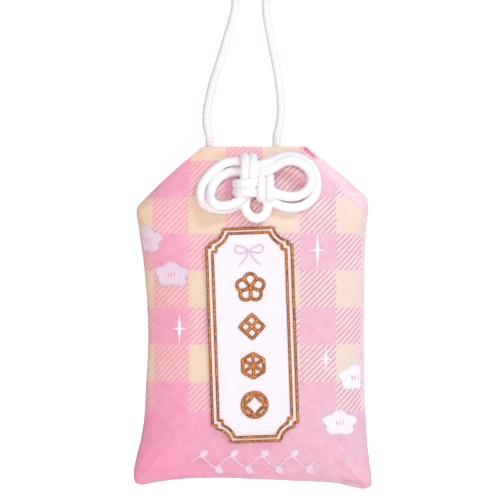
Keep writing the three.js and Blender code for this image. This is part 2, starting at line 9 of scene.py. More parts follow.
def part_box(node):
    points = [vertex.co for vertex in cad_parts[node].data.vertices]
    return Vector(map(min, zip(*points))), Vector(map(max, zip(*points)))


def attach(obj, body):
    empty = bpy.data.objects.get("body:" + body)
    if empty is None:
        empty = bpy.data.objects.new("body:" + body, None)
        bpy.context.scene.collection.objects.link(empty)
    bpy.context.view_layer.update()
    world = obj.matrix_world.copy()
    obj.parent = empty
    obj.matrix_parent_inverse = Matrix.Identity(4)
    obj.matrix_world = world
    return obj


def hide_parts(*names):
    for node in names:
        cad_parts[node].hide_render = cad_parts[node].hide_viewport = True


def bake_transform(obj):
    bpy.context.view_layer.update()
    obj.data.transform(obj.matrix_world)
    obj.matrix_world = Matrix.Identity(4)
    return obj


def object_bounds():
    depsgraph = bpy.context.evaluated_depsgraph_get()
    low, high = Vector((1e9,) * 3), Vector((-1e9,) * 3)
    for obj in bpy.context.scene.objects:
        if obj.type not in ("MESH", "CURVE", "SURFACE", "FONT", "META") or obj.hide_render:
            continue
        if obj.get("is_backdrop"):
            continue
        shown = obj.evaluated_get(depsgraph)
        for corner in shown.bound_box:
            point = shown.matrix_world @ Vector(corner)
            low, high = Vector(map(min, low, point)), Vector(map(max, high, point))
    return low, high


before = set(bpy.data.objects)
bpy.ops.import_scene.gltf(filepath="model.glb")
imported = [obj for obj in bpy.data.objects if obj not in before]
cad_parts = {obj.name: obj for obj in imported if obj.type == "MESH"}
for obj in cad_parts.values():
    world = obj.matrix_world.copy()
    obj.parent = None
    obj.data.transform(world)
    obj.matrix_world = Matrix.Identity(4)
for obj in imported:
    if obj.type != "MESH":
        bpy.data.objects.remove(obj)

cadBox = [list(corner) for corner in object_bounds()]
scene = bpy.context.scene
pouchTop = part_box("pouch_front")[1].z  # the pouch's top edge, below the hook at the origin
print("frame:", len(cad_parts), "nodes, pouch top at", round(pouchTop, 4))


# node trees

def put(tree, kind, inputs=None, **settings):
    node = tree.nodes.new(kind)
    for name, value in settings.items():
        setattr(node, name, value)
    for key, value in (inputs or {}).items():
        if isinstance(value, bpy.types.NodeSocket):
            tree.links.new(value, node.inputs[key])
        else:
            node.inputs[key].default_value = value
    return node


def result(tree, kind, inputs=None, **settings):  # a new node's first output
    return put(tree, kind, inputs, **settings).outputs[0]


def calc(tree, operation, *values):
    return result(tree, "ShaderNodeMath", dict(enumerate(values)), operation=operation)


def between(tree, share, low, high):
    return calc(tree, "MULTIPLY_ADD", share, high - low, low)


def vectorCalc(tree, operation, inputs, output="Vector"):
    return put(tree, "ShaderNodeVectorMath", inputs, operation=operation).outputs[output]


def parts(tree, vector):
    return put(tree, "ShaderNodeSeparateXYZ", {0: vector}).outputs


def ramp(tree, value, low, high):  # 0 at low, 1 at high, eased
    inputs = {"Value": value, "From Min": low, "From Max": high}
    return result(tree, "ShaderNodeMapRange", inputs, interpolation_type="SMOOTHSTEP")


def mixColor(tree, factor, first, second, blend="MIX"):
    inputs = {0: factor, 6: first, 7: second}
    return put(tree, "ShaderNodeMix", inputs, data_type="RGBA", blend_type=blend).outputs[2]


def noise(tree, vector, scale, detail=2.0):
    return result(tree, "ShaderNodeTexNoise", {"Vector": vector, "Scale": scale, "Detail": detail})


def objectCoords(tree):
    return put(tree, "ShaderNodeTexCoord").outputs["Object"]


def attribute(tree, name):
    return put(tree, "ShaderNodeAttribute", attribute_name=name).outputs["Fac"]


def newGroup(name, kind, inputs, outputs):
    tree = bpy.data.node_groups.new(name, kind)
    for title, (socket, default) in inputs.items():
        item = tree.interface.new_socket(title, in_out="INPUT", socket_type="NodeSocket" + socket)
        if default is not None:
            item.default_value = default
    for title, socket in outputs.items():
        tree.interface.new_socket(title, in_out="OUTPUT", socket_type="NodeSocket" + socket)
    return tree, tree.nodes.new("NodeGroupInput").outputs, tree.nodes.new("NodeGroupOutput").inputs


def newMaterial(name, finish):  # finish gives the shader's fixed values
    material = bpy.data.materials.new(name)
    material.use_nodes = True
    shader = material.node_tree.nodes["Principled BSDF"]
    for title, value in finish.items():
        shader.inputs[title].default_value = value
    return material, material.node_tree, shader


def bump(tree, shader, height, distance, strength):
    inputs = {"Height": height, "Distance": distance, "Strength": strength}
    tree.links.new(result(tree, "ShaderNodeBump", inputs), shader.inputs["Normal"])


# camera

photoView = {
    "centre": (-0.00063, -0.05685),  # what the middle of the picture shows, across and up
    "width": 0.105,
    "lens": 135.0,
    "faceDepth": -0.001,  # the plane of that width
    "nearest": 0.01,
}


def makeCamera():
    data = bpy.data.cameras.new("photoCamera")
    data.lens = photoView["lens"]
    data.clip_start = photoView["nearest"]
    away = photoView["width"] / 2 / (data.sensor_width / 2 / data.lens)
    x, z = photoView["centre"]
    camera = bpy.data.objects.new("photoCamera", data)
    camera.location = (x, photoView["faceDepth"] - away, z)
    camera.rotation_euler = (math.pi / 2, 0, 0)
    scene.collection.objects.link(camera)
    scene.camera = camera
    print("camera", round(away, 3), "m away")


makeCamera()


# meshes and guides

def newPiece(name, mesh, body=None, nodes=()):
    piece = bpy.data.objects.new(name, mesh)
    scene.collection.objects.link(piece)
    if body:
        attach(piece, body)
    if nodes:
        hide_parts(*nodes)
    return piece


def newMesh(name, points, faces, edges=(), material=None):
    mesh = bpy.data.meshes.new(name)
    mesh.from_pydata([tuple(point) for point in points], list(edges), [tuple(face) for face in faces])
    mesh.shade_smooth()
    if material:
        mesh.materials.append(material)
    return mesh


def guideMesh(lines):  # each line is (points, closed)
    points, edges = [], []
    for line, closed in lines:
        first, count = len(points), len(line)
        points += [tuple(point) for point in line]
        edges += [(first + i, first + i + 1) for i in range(count - 1)]
        if closed:
            edges.append((first + count - 1, first))
    return newMesh("guide", points, [], edges)


def grown(name, lines, tree, values):  # runs a node tree on guide lines and keeps the plain mesh
    guide = newPiece(name + "Guide", guideMesh(lines))
    modifier = guide.modifiers.new("grow", "NODES")
    modifier.node_group = tree
    for item in tree.interface.items_tree:
        if item.in_out == "INPUT" and item.name in values:
            modifier[item.identifier] = values[item.name]
    evaluated = guide.evaluated_get(bpy.context.evaluated_depsgraph_get())
    mesh = bpy.data.meshes.new_from_object(evaluated)
    mesh.name = name
    bpy.data.objects.remove(guide)
    print(name, len(mesh.polygons), "faces")
    return mesh


def smoothRoute(route, perSpan=8):  # a centripetal curve through all the points
    points = [np.array(point, float) for point in route]
    points = [2 * points[0] - points[1], *points, 2 * points[-1] - points[-2]]
    line = []
    for a, b, c, d in zip(points, points[1:], points[2:], points[3:]):
        ta = 0.0
        tb = ta + max(np.linalg.norm(b - a), 1e-6) ** 0.5
        tc = tb + max(np.linalg.norm(c - b), 1e-6) ** 0.5
        td = tc + max(np.linalg.norm(d - c), 1e-6) ** 0.5
        for step in range(perSpan):
            t = tb + (tc - tb) * step / perSpan
            ab = (a * (tb - t) + b * (t - ta)) / (tb - ta)
            bc = (b * (tc - t) + c * (t - tb)) / (tc - tb)
            cd = (c * (td - t) + d * (t - tc)) / (td - tc)
            abc = (ab * (tc - t) + bc * (t - ta)) / (tc - ta)
            bcd = (bc * (td - t) + cd * (t - tb)) / (td - tb)
            line.append((abc * (tc - t) + bcd * (t - tb)) / (tc - tb))
    return [*line, points[-2]]


def subdivided(line, closed, step=0.0006):  # so that straight runs follow the cloth too
    spots = [np.array(spot, float) for spot in line]
    ends = spots[1:] + ([spots[0]] if closed else [])
    fine = []
    for start, end in zip(spots, ends):
        count = max(1, math.ceil(np.linalg.norm(end - start) / step))
        fine += [start + (end - start) * i / count for i in range(count)]
    return fine if closed else [*fine, spots[-1]]


# shader effects that several materials share

weave = {
    "yarnDetail": 3.0,
    "stray": 0.9, "strayScale": 0.21,  # ribs don't run quite straight
    "ridgeTop": 0.8,  # flat above this share of the rise
    "ridge": 0.6, "yarn": 0.6,  # what each adds to the height
    "shade": (0.1, 1.0),
}
yarnMix = {  # shares of a strand's own tone and of its fibres, and where dark and light end
    "detail": 3.0, "tone": 0.55, "fibre": 0.6, "range": (0.1, 0.95),
}


def makeWovenRibs():
    tree, given, made = newGroup(
        "wovenRibs", "ShaderNodeTree",
        {"Across": ("Float", 0.0), "Up": ("Float", 0.0), "Rib": ("Float", 0.0005),
         "Tilt": ("Float", 0.0), "Float Length": ("Float", 0.002)},
        {"Height": "Float", "Shade": "Float"})
    across, up, rib = given["Across"], given["Up"], given["Rib"]
    flat = result(tree, "ShaderNodeCombineXYZ", {
        0: calc(tree, "DIVIDE", across, given["Float Length"]), 1: calc(tree, "DIVIDE", up, rib)})
    yarn = noise(tree, flat, 1.0, weave["yarnDetail"])
    stray = calc(tree, "SUBTRACT", noise(tree, flat, weave["strayScale"]), 0.5)
    stray = calc(tree, "MULTIPLY", stray, weave["stray"])
    slope = calc(tree, "MULTIPLY_ADD", across, given["Tilt"], up)
    turns = calc(tree, "ADD", calc(tree, "DIVIDE", slope, rib), stray)
    ridge = calc(tree, "MULTIPLY", calc(tree, "PINGPONG", turns, 0.5), 2.0)
    ridge = ramp(tree, ridge, 0.0, weave["ridgeTop"])
    height = calc(tree, "ADD", calc(tree, "MULTIPLY", ridge, weave["ridge"]),
                  calc(tree, "MULTIPLY", yarn, weave["yarn"]))
    tree.links.new(height, made["Height"])
    tree.links.new(ramp(tree, height, *weave["shade"]), made["Shade"])
    return tree


def makeYarnTone():
    tree, given, made = newGroup(
        "yarnTone", "ShaderNodeTree",
        {"Vector": ("Vector", None), "Tone": ("Float", 0.5), "Dark": ("Color", (0, 0, 0, 1)),
         "Light": ("Color", (1, 1, 1, 1)), "Fibre": ("Float", 3000.0)},
        {"Color": "Color", "Height": "Float"})
    fibre = noise(tree, given["Vector"], given["Fibre"], yarnMix["detail"])
    share = calc(tree, "ADD", calc(tree, "MULTIPLY", given["Tone"], yarnMix["tone"]),
                 calc(tree, "MULTIPLY", fibre, yarnMix["fibre"]))
    color = mixColor(tree, ramp(tree, share, *yarnMix["range"]), given["Dark"], given["Light"])
    tree.links.new(color, made["Color"])
    tree.links.new(fibre, made["Height"])
    return tree


wovenRibs = makeWovenRibs()
yarnTone = makeYarnTone()


def ribsOf(tree, across, up, cloth):
    inputs = {"Across": across, "Up": up, "Rib": cloth["rib"], "Tilt": cloth["ribTilt"],
              "Float Length": cloth["float"]}
    return put(tree, "ShaderNodeGroup", inputs, node_tree=wovenRibs).outputs


def finishCloth(tree, shader, color, shade, height, cloth):  # raised yarn is glossier
    tree.links.new(color, shader.inputs["Base Color"])
    tree.links.new(between(tree, shade, *cloth["roughness"]), shader.inputs["Roughness"])
    bump(tree, shader, height, *cloth["relief"])


def spin(tree, shader, vector, tone, dark, light, fibre, relief):  # a material's yarn or fibres
    inputs = {"Vector": vector, "Tone": tone, "Dark": dark, "Light": light, "Fibre": fibre}
    yarn = put(tree, "ShaderNodeGroup", inputs, node_tree=yarnTone).outputs
    tree.links.new(yarn["Color"], shader.inputs["Base Color"])
    bump(tree, shader, yarn["Height"], *relief)


# materials

gingham = {
    "square": 0.00773, "squareSoft": 0.012,  # its soft edge is a share of two squares
    "columnStart": -0.0212,  # left side of the first pink column
    "rowStart": pouchTop - 0.00305,  # top of the first pink row
    "bandTop": pouchTop - 0.0558, "bandSoft": 0.0001,  # plain pink below this
    "fray": 0.0004, "frayScale": 2600.0,  # how far the squares' edges stray
    "pinkLeft": (0.84, 0.362, 0.5, 1), "pinkRight": (0.775, 0.45, 0.555, 1),
    "creamLeft": (0.81, 0.6, 0.47, 1), "creamRight": (0.79, 0.625, 0.55, 1),
    "sides": (-0.016, 0.026), "drift": 0.012, "driftScale": 60.0,  # where left tones turn into right ones: the darker left is painted shade and the paler right is painted light
    "pinkLow": (0.83, 0.325, 0.48, 1), "lowTones": (0.012, -0.004),  # from above the band to below its top
    "mixedPink": 0.64,  # share of pink where pink and cream cross
    "stripe": 0.00089, "stripeEdge": (0.1, 0.36),  # the slanted lines there
    "lineDark": (0.84, 0.68, 0.72, 1), "lineLight": (1.1, 1.24, 1.2, 1),
    "rib": 0.000447, "ribTilt": 0.27, "float": 0.0013,
    "ribDark": (0.85, 0.76, 0.8, 1), "ribLight": (1.09, 1.18, 1.15, 1),
    "lineShare": (0.5, 1.0), "ribShare": (0.4, 1.0),  # how strong on the left and on the right
    "mottle": 450.0, "mottleDetail": 3.0, "mottleEdge": (0.3, 0.7),  # patches per metre
    "dull": (1, 0.93, 0.96, 1), "fresh": (1, 1.07, 1.04, 1),
    "ribOnCream": 0.6, "mottleOnCream": 0.35,  # shares of what shows on pink
    "strip": (0.96, 0.73, 0.73, 1), "stripShare": 0.5,  # the turned edge: plain pink, and paler from a painted highlight
    "fold": (0.78, 0.32, 0.54, 1),  # what the light loses inside a fold
    "roughness": (0.68, 0.53), "pinkSink": -0.25,  # pink yarn lies lower
    "relief": (0.0001, 0.4),  # a bump's distance and strength
}
foldShadeLines = [  # painted shade in the front's folds: from, to, half width, darkness
    ((0.0109, -0.0007), (0.0129, -0.0023), 0.0005, 1.0),
    ((-0.0089, -0.0018), (-0.0074, -0.0021), 0.00026, 0.9),
    ((-0.0074, -0.0021), (-0.0052, -0.0023), 0.00022, 0.5),
]
creaseCore = 0.2  # the share of the half width that is fully in painted shade
satinCloth = {
    "rib": 0.00036, "ribTilt": 0.03, "float": 0.003,
    "dark": (0.73, 0.665, 0.72, 1), "light": (0.84, 0.78, 0.83, 1),
    "roughness": (0.52, 0.4), "relief": (0.00006, 0.5),
}
stitchTone = {"fibre": 5200.0, "tones": (0.25, 1.05), "endShade": 0.65, "relief": (0.00003, 0.6)}
cordTone = {"strands": 34.0, "fibresAlong": 1500.0, "relief": (0.00005, 0.5)}
grainTone = {"patch": 6, "detail": 4.0, "relief": (0.00006, 0.5)}  # a patch is this many grains wide


def squares(tree, place, start):  # 1 in every other square from start on
    soft = gingham["squareSoft"]
    turns = calc(tree, "DIVIDE", calc(tree, "SUBTRACT", place, start), 2 * gingham["square"])
    off = calc(tree, "PINGPONG", calc(tree, "SUBTRACT", turns, 0.25), 0.5)
    return ramp(tree, off, 0.25 + soft, 0.25 - soft)


def pinkAndMixed(tree, across, up, strip):  # how pink each spot is, and where pink and cream cross
    top, soft = gingham["bandTop"], gingham["bandSoft"]
    plain = calc(tree, "MAXIMUM", ramp(tree, up, top + soft, top - soft), strip)
    column = squares(tree, across, gingham["columnStart"])
    row = squares(tree, calc(tree, "MULTIPLY", up, -1.0), -gingham["rowStart"])
    column, row = (calc(tree, "MAXIMUM", mask, plain) for mask in (column, row))
    both = calc(tree, "MULTIPLY", column, row)
    mixed = calc(tree, "SUBTRACT", calc(tree, "ADD", column, row), calc(tree, "MULTIPLY", both, 2.0))
    return calc(tree, "MULTIPLY_ADD", mixed, gingham["mixedPink"], both), mixed


def dyeAndPaintedSideLight(tree, y, side, pink):
    low = ramp(tree, y, *(gingham["bandTop"] + rise for rise in gingham["lowTones"]))
    pinks = mixColor(tree, low, gingham["pinkLeft"], gingham["pinkLow"])
    # pink and cream are the dye; across the cloth the tones go from painted shade on the left to painted
    # light on the right
    pinks = mixColor(tree, side, pinks, gingham["pinkRight"])
    creams = mixColor(tree, side, gingham["creamLeft"], gingham["creamRight"])
    return mixColor(tree, pink, creams, pinks)


def slantedLines(tree, x, y, across):
    rise = calc(tree, "MULTIPLY_ADD", x, gingham["ribTilt"], y)
    step = calc(tree, "SNAP", rise, gingham["rib"] / 2)  # they climb by half ribs
    slant = calc(tree, "SUBTRACT", calc(tree, "MULTIPLY_ADD", x, gingham["ribTilt"], across), step)
    slant = calc(tree, "DIVIDE", slant, math.sqrt(2) * gingham["stripe"])
    line = ramp(tree, calc(tree, "PINGPONG", slant, 0.5), *gingham["stripeEdge"])
    return mixColor(tree, line, gingham["lineDark"], gingham["lineLight"])


def nearLine(tree, start, end, halfWidth):  # 1 on a short line of the front, 0 beside it
    start, end = (Vector((x, 0, up + pouchTop)) for x, up in (start, end))
    step = end - start
    offset = vectorCalc(tree, "SUBTRACT", {0: objectCoords(tree), 1: start})
    along = vectorCalc(tree, "DOT_PRODUCT", {0: offset, 1: step / step.length_squared}, "Value")
    along = result(tree, "ShaderNodeClamp", {"Value": along})
    foot = vectorCalc(tree, "SCALE", {0: step, "Scale": along})
    far = vectorCalc(tree, "DISTANCE", {0: offset, 1: foot}, "Value")
    return ramp(tree, far, halfWidth, halfWidth * creaseCore)


# painted shade along the folds, on the front only
def foldShade(tree):
    creaseShade = attribute(tree, "creaseShade")
    for start, end, halfWidth, dark in foldShadeLines:
        near = calc(tree, "MULTIPLY", nearLine(tree, start, end, halfWidth), dark)
        creaseShade = calc(tree, "MAXIMUM", creaseShade, near)
    return calc(tree, "MULTIPLY", creaseShade, attribute(tree, "front"))


def brocadeMaterial():
    material, tree, shader = newMaterial("brocade", {
        "Sheen Weight": 0.2, "Sheen Roughness": 0.45, "Sheen Tint": (1, 0.93, 0.95, 1),
        "Specular IOR Level": 0.35, "Subsurface Weight": 0.5,
        "Subsurface Radius": (0.003, 0.0008, 0.0005), "Subsurface Scale": 1.0})
    flat = result(tree, "ShaderNodeUVMap", uv_map="flatCloth")
    x, y, _ = parts(tree, flat)
    strip = attribute(tree, "sideStrip")
    fray = calc(tree, "SUBTRACT", noise(tree, flat, gingham["frayScale"]), 0.5)
    fray = calc(tree, "MULTIPLY", fray, gingham["fray"])
    across, up = (calc(tree, "ADD", place, fray) for place in (x, y))
    pink, mixed = pinkAndMixed(tree, across, up, strip)
    drift = calc(tree, "MULTIPLY", noise(tree, flat, gingham["driftScale"]), gingham["drift"])
    side = ramp(tree, calc(tree, "ADD", x, drift), *gingham["sides"])  # 0 on the left, 1 on the right: painted shade on the left turns into painted light on the right

    color = dyeAndPaintedSideLight(tree, y, side, pink)
    # the turned edge is plain pink, and its paleness is a painted highlight
    color = mixColor(tree, calc(tree, "MULTIPLY", strip, gingham["stripShare"]), color, gingham["strip"])
    lined = calc(tree, "MULTIPLY", mixed, between(tree, side, *gingham["lineShare"]))
    color = mixColor(tree, lined, color, slantedLines(tree, x, y, across), "MULTIPLY")
    ribs = ribsOf(tree, x, y, gingham)
    ribbed = calc(tree, "MULTIPLY", between(tree, pink, gingham["ribOnCream"], 1.0),
                  between(tree, side, *gingham["ribShare"]))
    shade = mixColor(tree, ribs["Shade"], gingham["ribDark"], gingham["ribLight"])
    color = mixColor(tree, ribbed, color, shade, "MULTIPLY")
    patches = noise(tree, flat, gingham["mottle"], gingham["mottleDetail"])
    patches = ramp(tree, patches, *gingham["mottleEdge"])
    mottled = between(tree, pink, gingham["mottleOnCream"], 1.0)
    tint = mixColor(tree, patches, gingham["dull"], gingham["fresh"])
    color = mixColor(tree, mottled, color, tint, "MULTIPLY")
    foldShadeColor = mixColor(tree, 1.0, color, gingham["fold"], "MULTIPLY")
    # painted shade darkens the cloth in its folds
    color = mixColor(tree, foldShade(tree), color, foldShadeColor)
    height = calc(tree, "MULTIPLY_ADD", pink, gingham["pinkSink"], ribs["Height"])
    finishCloth(tree, shader, color, ribs["Shade"], height, gingham)
    return material


def satinMaterial():
    material, tree, shader = newMaterial("satin", {
        "Sheen Weight": 0.2, "Sheen Roughness": 0.4, "Specular IOR Level": 0.45})
    x, _, z = parts(tree, objectCoords(tree))
    ribs = ribsOf(tree, x, z, satinCloth)
    color = mixColor(tree, ribs["Shade"], satinCloth["dark"], satinCloth["light"])
    finishCloth(tree, shader, color, ribs["Shade"], ribs["Height"], satinCloth)
    return material


def threadMaterial(name, dark, light, roughness=0.5, sheen=0.3, metal=0.0):
    material, tree, shader = newMaterial(name, {
        "Sheen Weight": sheen, "Sheen Roughness": 0.4, "Roughness": roughness,
        "Specular IOR Level": 0.5, "Metallic": metal})
    reach = attribute(tree, "reach")  # 0 in the middle of a stitch, 1 where it dives into the cloth
    tone = between(tree, attribute(tree, "tone"), *stitchTone["tones"])
    tone = calc(tree, "SUBTRACT", tone, calc(tree, "MULTIPLY", reach, stitchTone["endShade"]))
    spin(tree, shader, objectCoords(tree), tone, dark, light, stitchTone["fibre"], stitchTone["relief"])
    return material


def cordMaterial(name, dark, light):
    material, tree, shader = newMaterial(name, {
        "Sheen Weight": 0.35, "Sheen Roughness": 0.5, "Roughness": 0.62, "Specular IOR Level": 0.4,
        "Subsurface Weight": 0.3, "Subsurface Radius": (0.001, 0.0007, 0.0008), "Subsurface Scale": 1.0})
    strands = result(tree, "ShaderNodeCombineXYZ", {
        0: calc(tree, "MULTIPLY", attribute(tree, "around"), cordTone["strands"]),
        1: calc(tree, "MULTIPLY", attribute(tree, "along"), cordTone["fibresAlong"])})
    # the plait's valleys take the dark colour: painted shade
    spin(tree, shader, strands, attribute(tree, "plait"), dark, light, 1.0, cordTone["relief"])
    return material


def grainMaterial(name, dark, light, stretch, grain, roughness):
    material, tree, shader = newMaterial(name, {"Roughness": roughness})
    place = vectorCalc(tree, "MULTIPLY", {0: objectCoords(tree), 1: stretch})
    patches = noise(tree, place, grain / grainTone["patch"], grainTone["detail"])
    spin(tree, shader, place, patches, dark, light, grain, grainTone["relief"])
    return material


brocade = brocadeMaterial()
satin = satinMaterial()
# the knot and the loop are the same cord, and the loop's greyer copy is painted shade
knotCord = cordMaterial("knotCord", (0.88, 0.8, 0.83, 1), (0.97, 0.93, 0.95, 1))
loopCord = cordMaterial("loopCord", (0.77, 0.72, 0.77, 1), (0.9, 0.86, 0.9, 1))  # greyer: painted shade
copperThread = threadMaterial("copperThread", (0.15, 0.026, 0.004, 1), (0.88, 0.335, 0.1, 1),
                              roughness=0.36, sheen=0.1, metal=0.65)
lilacThread = threadMaterial("lilacThread", (0.66, 0.42, 0.57, 1), (0.8, 0.57, 0.71, 1))
whiteThread = threadMaterial("whiteThread", (0.78, 0.67, 0.76, 1), (0.93, 0.87, 0.92, 1))
paleThread = threadMaterial("paleThread", (0.68, 0.51, 0.62, 1), (0.82, 0.67, 0.77, 1))
mistThread = threadMaterial("mistThread", (0.76, 0.5, 0.62, 1), (0.87, 0.68, 0.78, 1))
roseThread = threadMaterial("roseThread", (0.7, 0.3, 0.46, 1), (0.84, 0.45, 0.6, 1))
cotton = grainMaterial("cotton", (0.8, 0.77, 0.72, 1), (0.95, 0.93, 0.9, 1), (1, 1, 1), 900.0, 0.95)
pulpBoard = grainMaterial("pulpBoard", (0.42, 0.33, 0.22, 1), (0.68, 0.58, 0.43, 1),
                          (1, 1, 1), 1400.0, 0.9)
mulberryPaper = grainMaterial("mulberryPaper", (0.8, 0.76, 0.66, 1), (0.95, 0.92, 0.85, 1),
                              (1, 1, 0.2), 1100.0, 0.85)
cedar = grainMaterial("cedar", (0.46, 0.27, 0.12, 1), (0.76, 0.55, 0.32, 1), (1, 1, 0.06), 1500.0, 0.65)
print("materials:", len(bpy.data.materials))


# node trees that grow cords and stitches

plaitForm = {"valley": 0.55, "valleySharp": 4.0, "middle": 0.6}  # what is at middle stays in place
stitchForm = {"lengths": (0.88, 1.1), "segments": 8, "rings": 5}  # stitches differ in length
threadForm = {"sides": 6, "taper": 6.0, "full": 1.02}  # a high taper keeps the thread full for longer


def stored(tree, geometry, name, value, domain="POINT"):
    inputs = {"Geometry": geometry, "Name": name, "Value": value}
    return result(tree, "GeometryNodeStoreNamedAttribute", inputs, domain=domain)


def named(tree, name):
    return result(tree, "GeometryNodeInputNamedAttribute", {"Name": name})


def evenLine(tree, guide, step):  # the guide's edges as a line with even steps
    line = result(tree, "GeometryNodeMeshToCurve", {"Mesh": guide})
    return result(tree, "GeometryNodeResampleCurve", {"Curve": line, "Length": step}, mode="LENGTH")


def uneven(tree, seed, low=0.0, high=1.0):  # differs from stitch to stitch
    inputs = {2: low, 3: high, "Seed": seed}
    return put(tree, "FunctionNodeRandomValue", inputs, data_type="FLOAT").outputs[1]


def finishTree(tree, geometry, material, made):
    plain = result(tree, "GeometryNodeRealizeInstances", {"Geometry": geometry})
    smooth = result(tree, "GeometryNodeSetShadeSmooth", {"Geometry": plain})
    dressed = result(tree, "GeometryNodeSetMaterial", {"Geometry": smooth, "Material": material})
    tree.links.new(dressed, made["Geometry"])
    return tree


def makeBraidedCord():
    tree, given, made = newGroup(
        "braidedCord", "GeometryNodeTree",
        {"Route": ("Geometry", None), "Radius": ("Float", 0.0009), "Sides": ("Int", 32),
         "Step": ("Float", 0.00012), "Plait Length": ("Float", 0.0008),
         "Plait Depth": ("Float", 0.000015), "Columns": ("Float", 8.0), "Slant": ("Float", 2.6),
         "Material": ("Material", None)},
        {"Geometry": "Geometry"})
    spline = put(tree, "GeometryNodeSplineParameter").outputs
    line = stored(tree, evenLine(tree, given["Route"], given["Step"]), "along", spline["Length"])
    ring = result(tree, "GeometryNodeCurvePrimitiveCircle",
                  {"Resolution": given["Sides"], "Radius": given["Radius"]})
    ring = stored(tree, ring, "around", spline["Factor"])
    tube = result(tree, "GeometryNodeCurveToMesh",
                  {"Curve": line, "Profile Curve": ring, "Fill Caps": True})
    chevron = calc(tree, "MULTIPLY", named(tree, "around"), given["Columns"])
    chevron = calc(tree, "PINGPONG", chevron, 1.0)
    turns = calc(tree, "MULTIPLY", named(tree, "along"), 2 * math.pi)
    turns = calc(tree, "DIVIDE", turns, given["Plait Length"])
    wave = calc(tree, "COSINE", calc(tree, "MULTIPLY_ADD", chevron, given["Slant"], turns))
    valley = calc(tree, "MULTIPLY", calc(tree, "ABSOLUTE", calc(tree, "SUBTRACT", chevron, 0.5)), 2.0)
    valley = calc(tree, "POWER", valley, plaitForm["valleySharp"])
    plait = calc(tree, "SUBTRACT", calc(tree, "MULTIPLY_ADD", wave, 0.5, 0.5),
                 calc(tree, "MULTIPLY", valley, plaitForm["valley"]))
    tube = stored(tree, tube, "plait", plait)
    raised = calc(tree, "SUBTRACT", plait, plaitForm["middle"])
    raised = calc(tree, "MULTIPLY", raised, given["Plait Depth"])
    outward = vectorCalc(tree, "SCALE", {0: result(tree, "GeometryNodeInputNormal"), "Scale": raised})
    tube = result(tree, "GeometryNodeSetPosition", {"Geometry": tube, "Offset": outward})
    return finishTree(tree, tube, given["Material"], made)


def makeSatinStitch():  # short stitches laid side by side along a line that faces the front
    tree, given, made = newGroup(
        "satinStitch", "GeometryNodeTree",
        {"Line": ("Geometry", None), "Length": ("Float", 0.0008), "Thread": ("Float", 0.0003),
         "Rise": ("Float", 0.0003), "Spacing": ("Float", 0.0002), "Slant": ("Float", 1.2),
         "Facing": ("Vector", (0, -1, 0)), "Seed": ("Int", 1), "Material": ("Material", None)},
        {"Geometry": "Geometry"})
    line = result(tree, "GeometryNodeMeshToCurve", {"Mesh": given["Line"]})
    spots = put(tree, "GeometryNodeCurveToPoints", {"Curve": line, "Length": given["Spacing"]},
                mode="LENGTH").outputs
    lean = result(tree, "ShaderNodeVectorRotate",
                  {"Vector": spots["Tangent"], "Axis": given["Facing"], "Angle": given["Slant"]},
                  rotation_type="AXIS_ANGLE")
    turn = result(tree, "FunctionNodeAxesToRotation",
                  {"Primary Axis": lean, "Secondary Axis": given["Facing"]},
                  primary_axis="X", secondary_axis="Z")
    length = calc(tree, "MULTIPLY", given["Length"], 0.5)
    size = result(tree, "ShaderNodeCombineXYZ", {
        0: calc(tree, "MULTIPLY", length, uneven(tree, given["Seed"], *stitchForm["lengths"])),
        1: calc(tree, "MULTIPLY", given["Thread"], 0.5),
        2: calc(tree, "MULTIPLY", given["Rise"], 0.5)})
    bead = result(tree, "GeometryNodeMeshUVSphere",
                  {"Segments": stitchForm["segments"], "Rings": stitchForm["rings"], "Radius": 1.0})
    alongBead = parts(tree, result(tree, "GeometryNodeInputPosition"))["X"]
    bead = stored(tree, bead, "reach", calc(tree, "ABSOLUTE", alongBead))
    stitches = result(tree, "GeometryNodeInstanceOnPoints",
                      {"Points": spots["Points"], "Instance": bead, "Rotation": turn, "Scale": size})
    stitches = stored(tree, stitches, "tone", uneven(tree, given["Seed"]), "INSTANCE")
    return finishTree(tree, stitches, given["Material"], made)


def makeLaidThread():  # threads along lines, thinner at their ends
    tree, given, made = newGroup(
        "laidThread", "GeometryNodeTree",
        {"Lines": ("Geometry", None), "Thread": ("Float", 0.0003), "Step": ("Float", 0.0004),
         "Seed": ("Int", 1), "Material": ("Material", None)},
        {"Geometry": "Geometry"})
    line = evenLine(tree, given["Lines"], given["Step"])
    line = stored(tree, line, "tone", uneven(tree, given["Seed"]), "CURVE")
    along = put(tree, "GeometryNodeSplineParameter").outputs["Factor"]
    fromMiddle = calc(tree, "ABSOLUTE", calc(tree, "MULTIPLY_ADD", along, 2.0, -1.0))
    thin = calc(tree, "POWER", fromMiddle, threadForm["taper"])
    thin = calc(tree, "SQRT", calc(tree, "SUBTRACT", threadForm["full"], thin))
    radius = calc(tree, "MULTIPLY", given["Thread"], 0.5)
    ring = result(tree, "GeometryNodeCurvePrimitiveCircle",
                  {"Resolution": threadForm["sides"], "Radius": radius})
    tube = result(tree, "GeometryNodeCurveToMesh",
                  {"Curve": line, "Profile Curve": ring, "Scale": thin, "Fill Caps": True})
    return finishTree(tree, tube, given["Material"], made)


braidedCord = makeBraidedCord()
satinStitch = makeSatinStitch()
laidThread = makeLaidThread()


# hanging cord, which goes through the pouch behind the knot and up over a hook

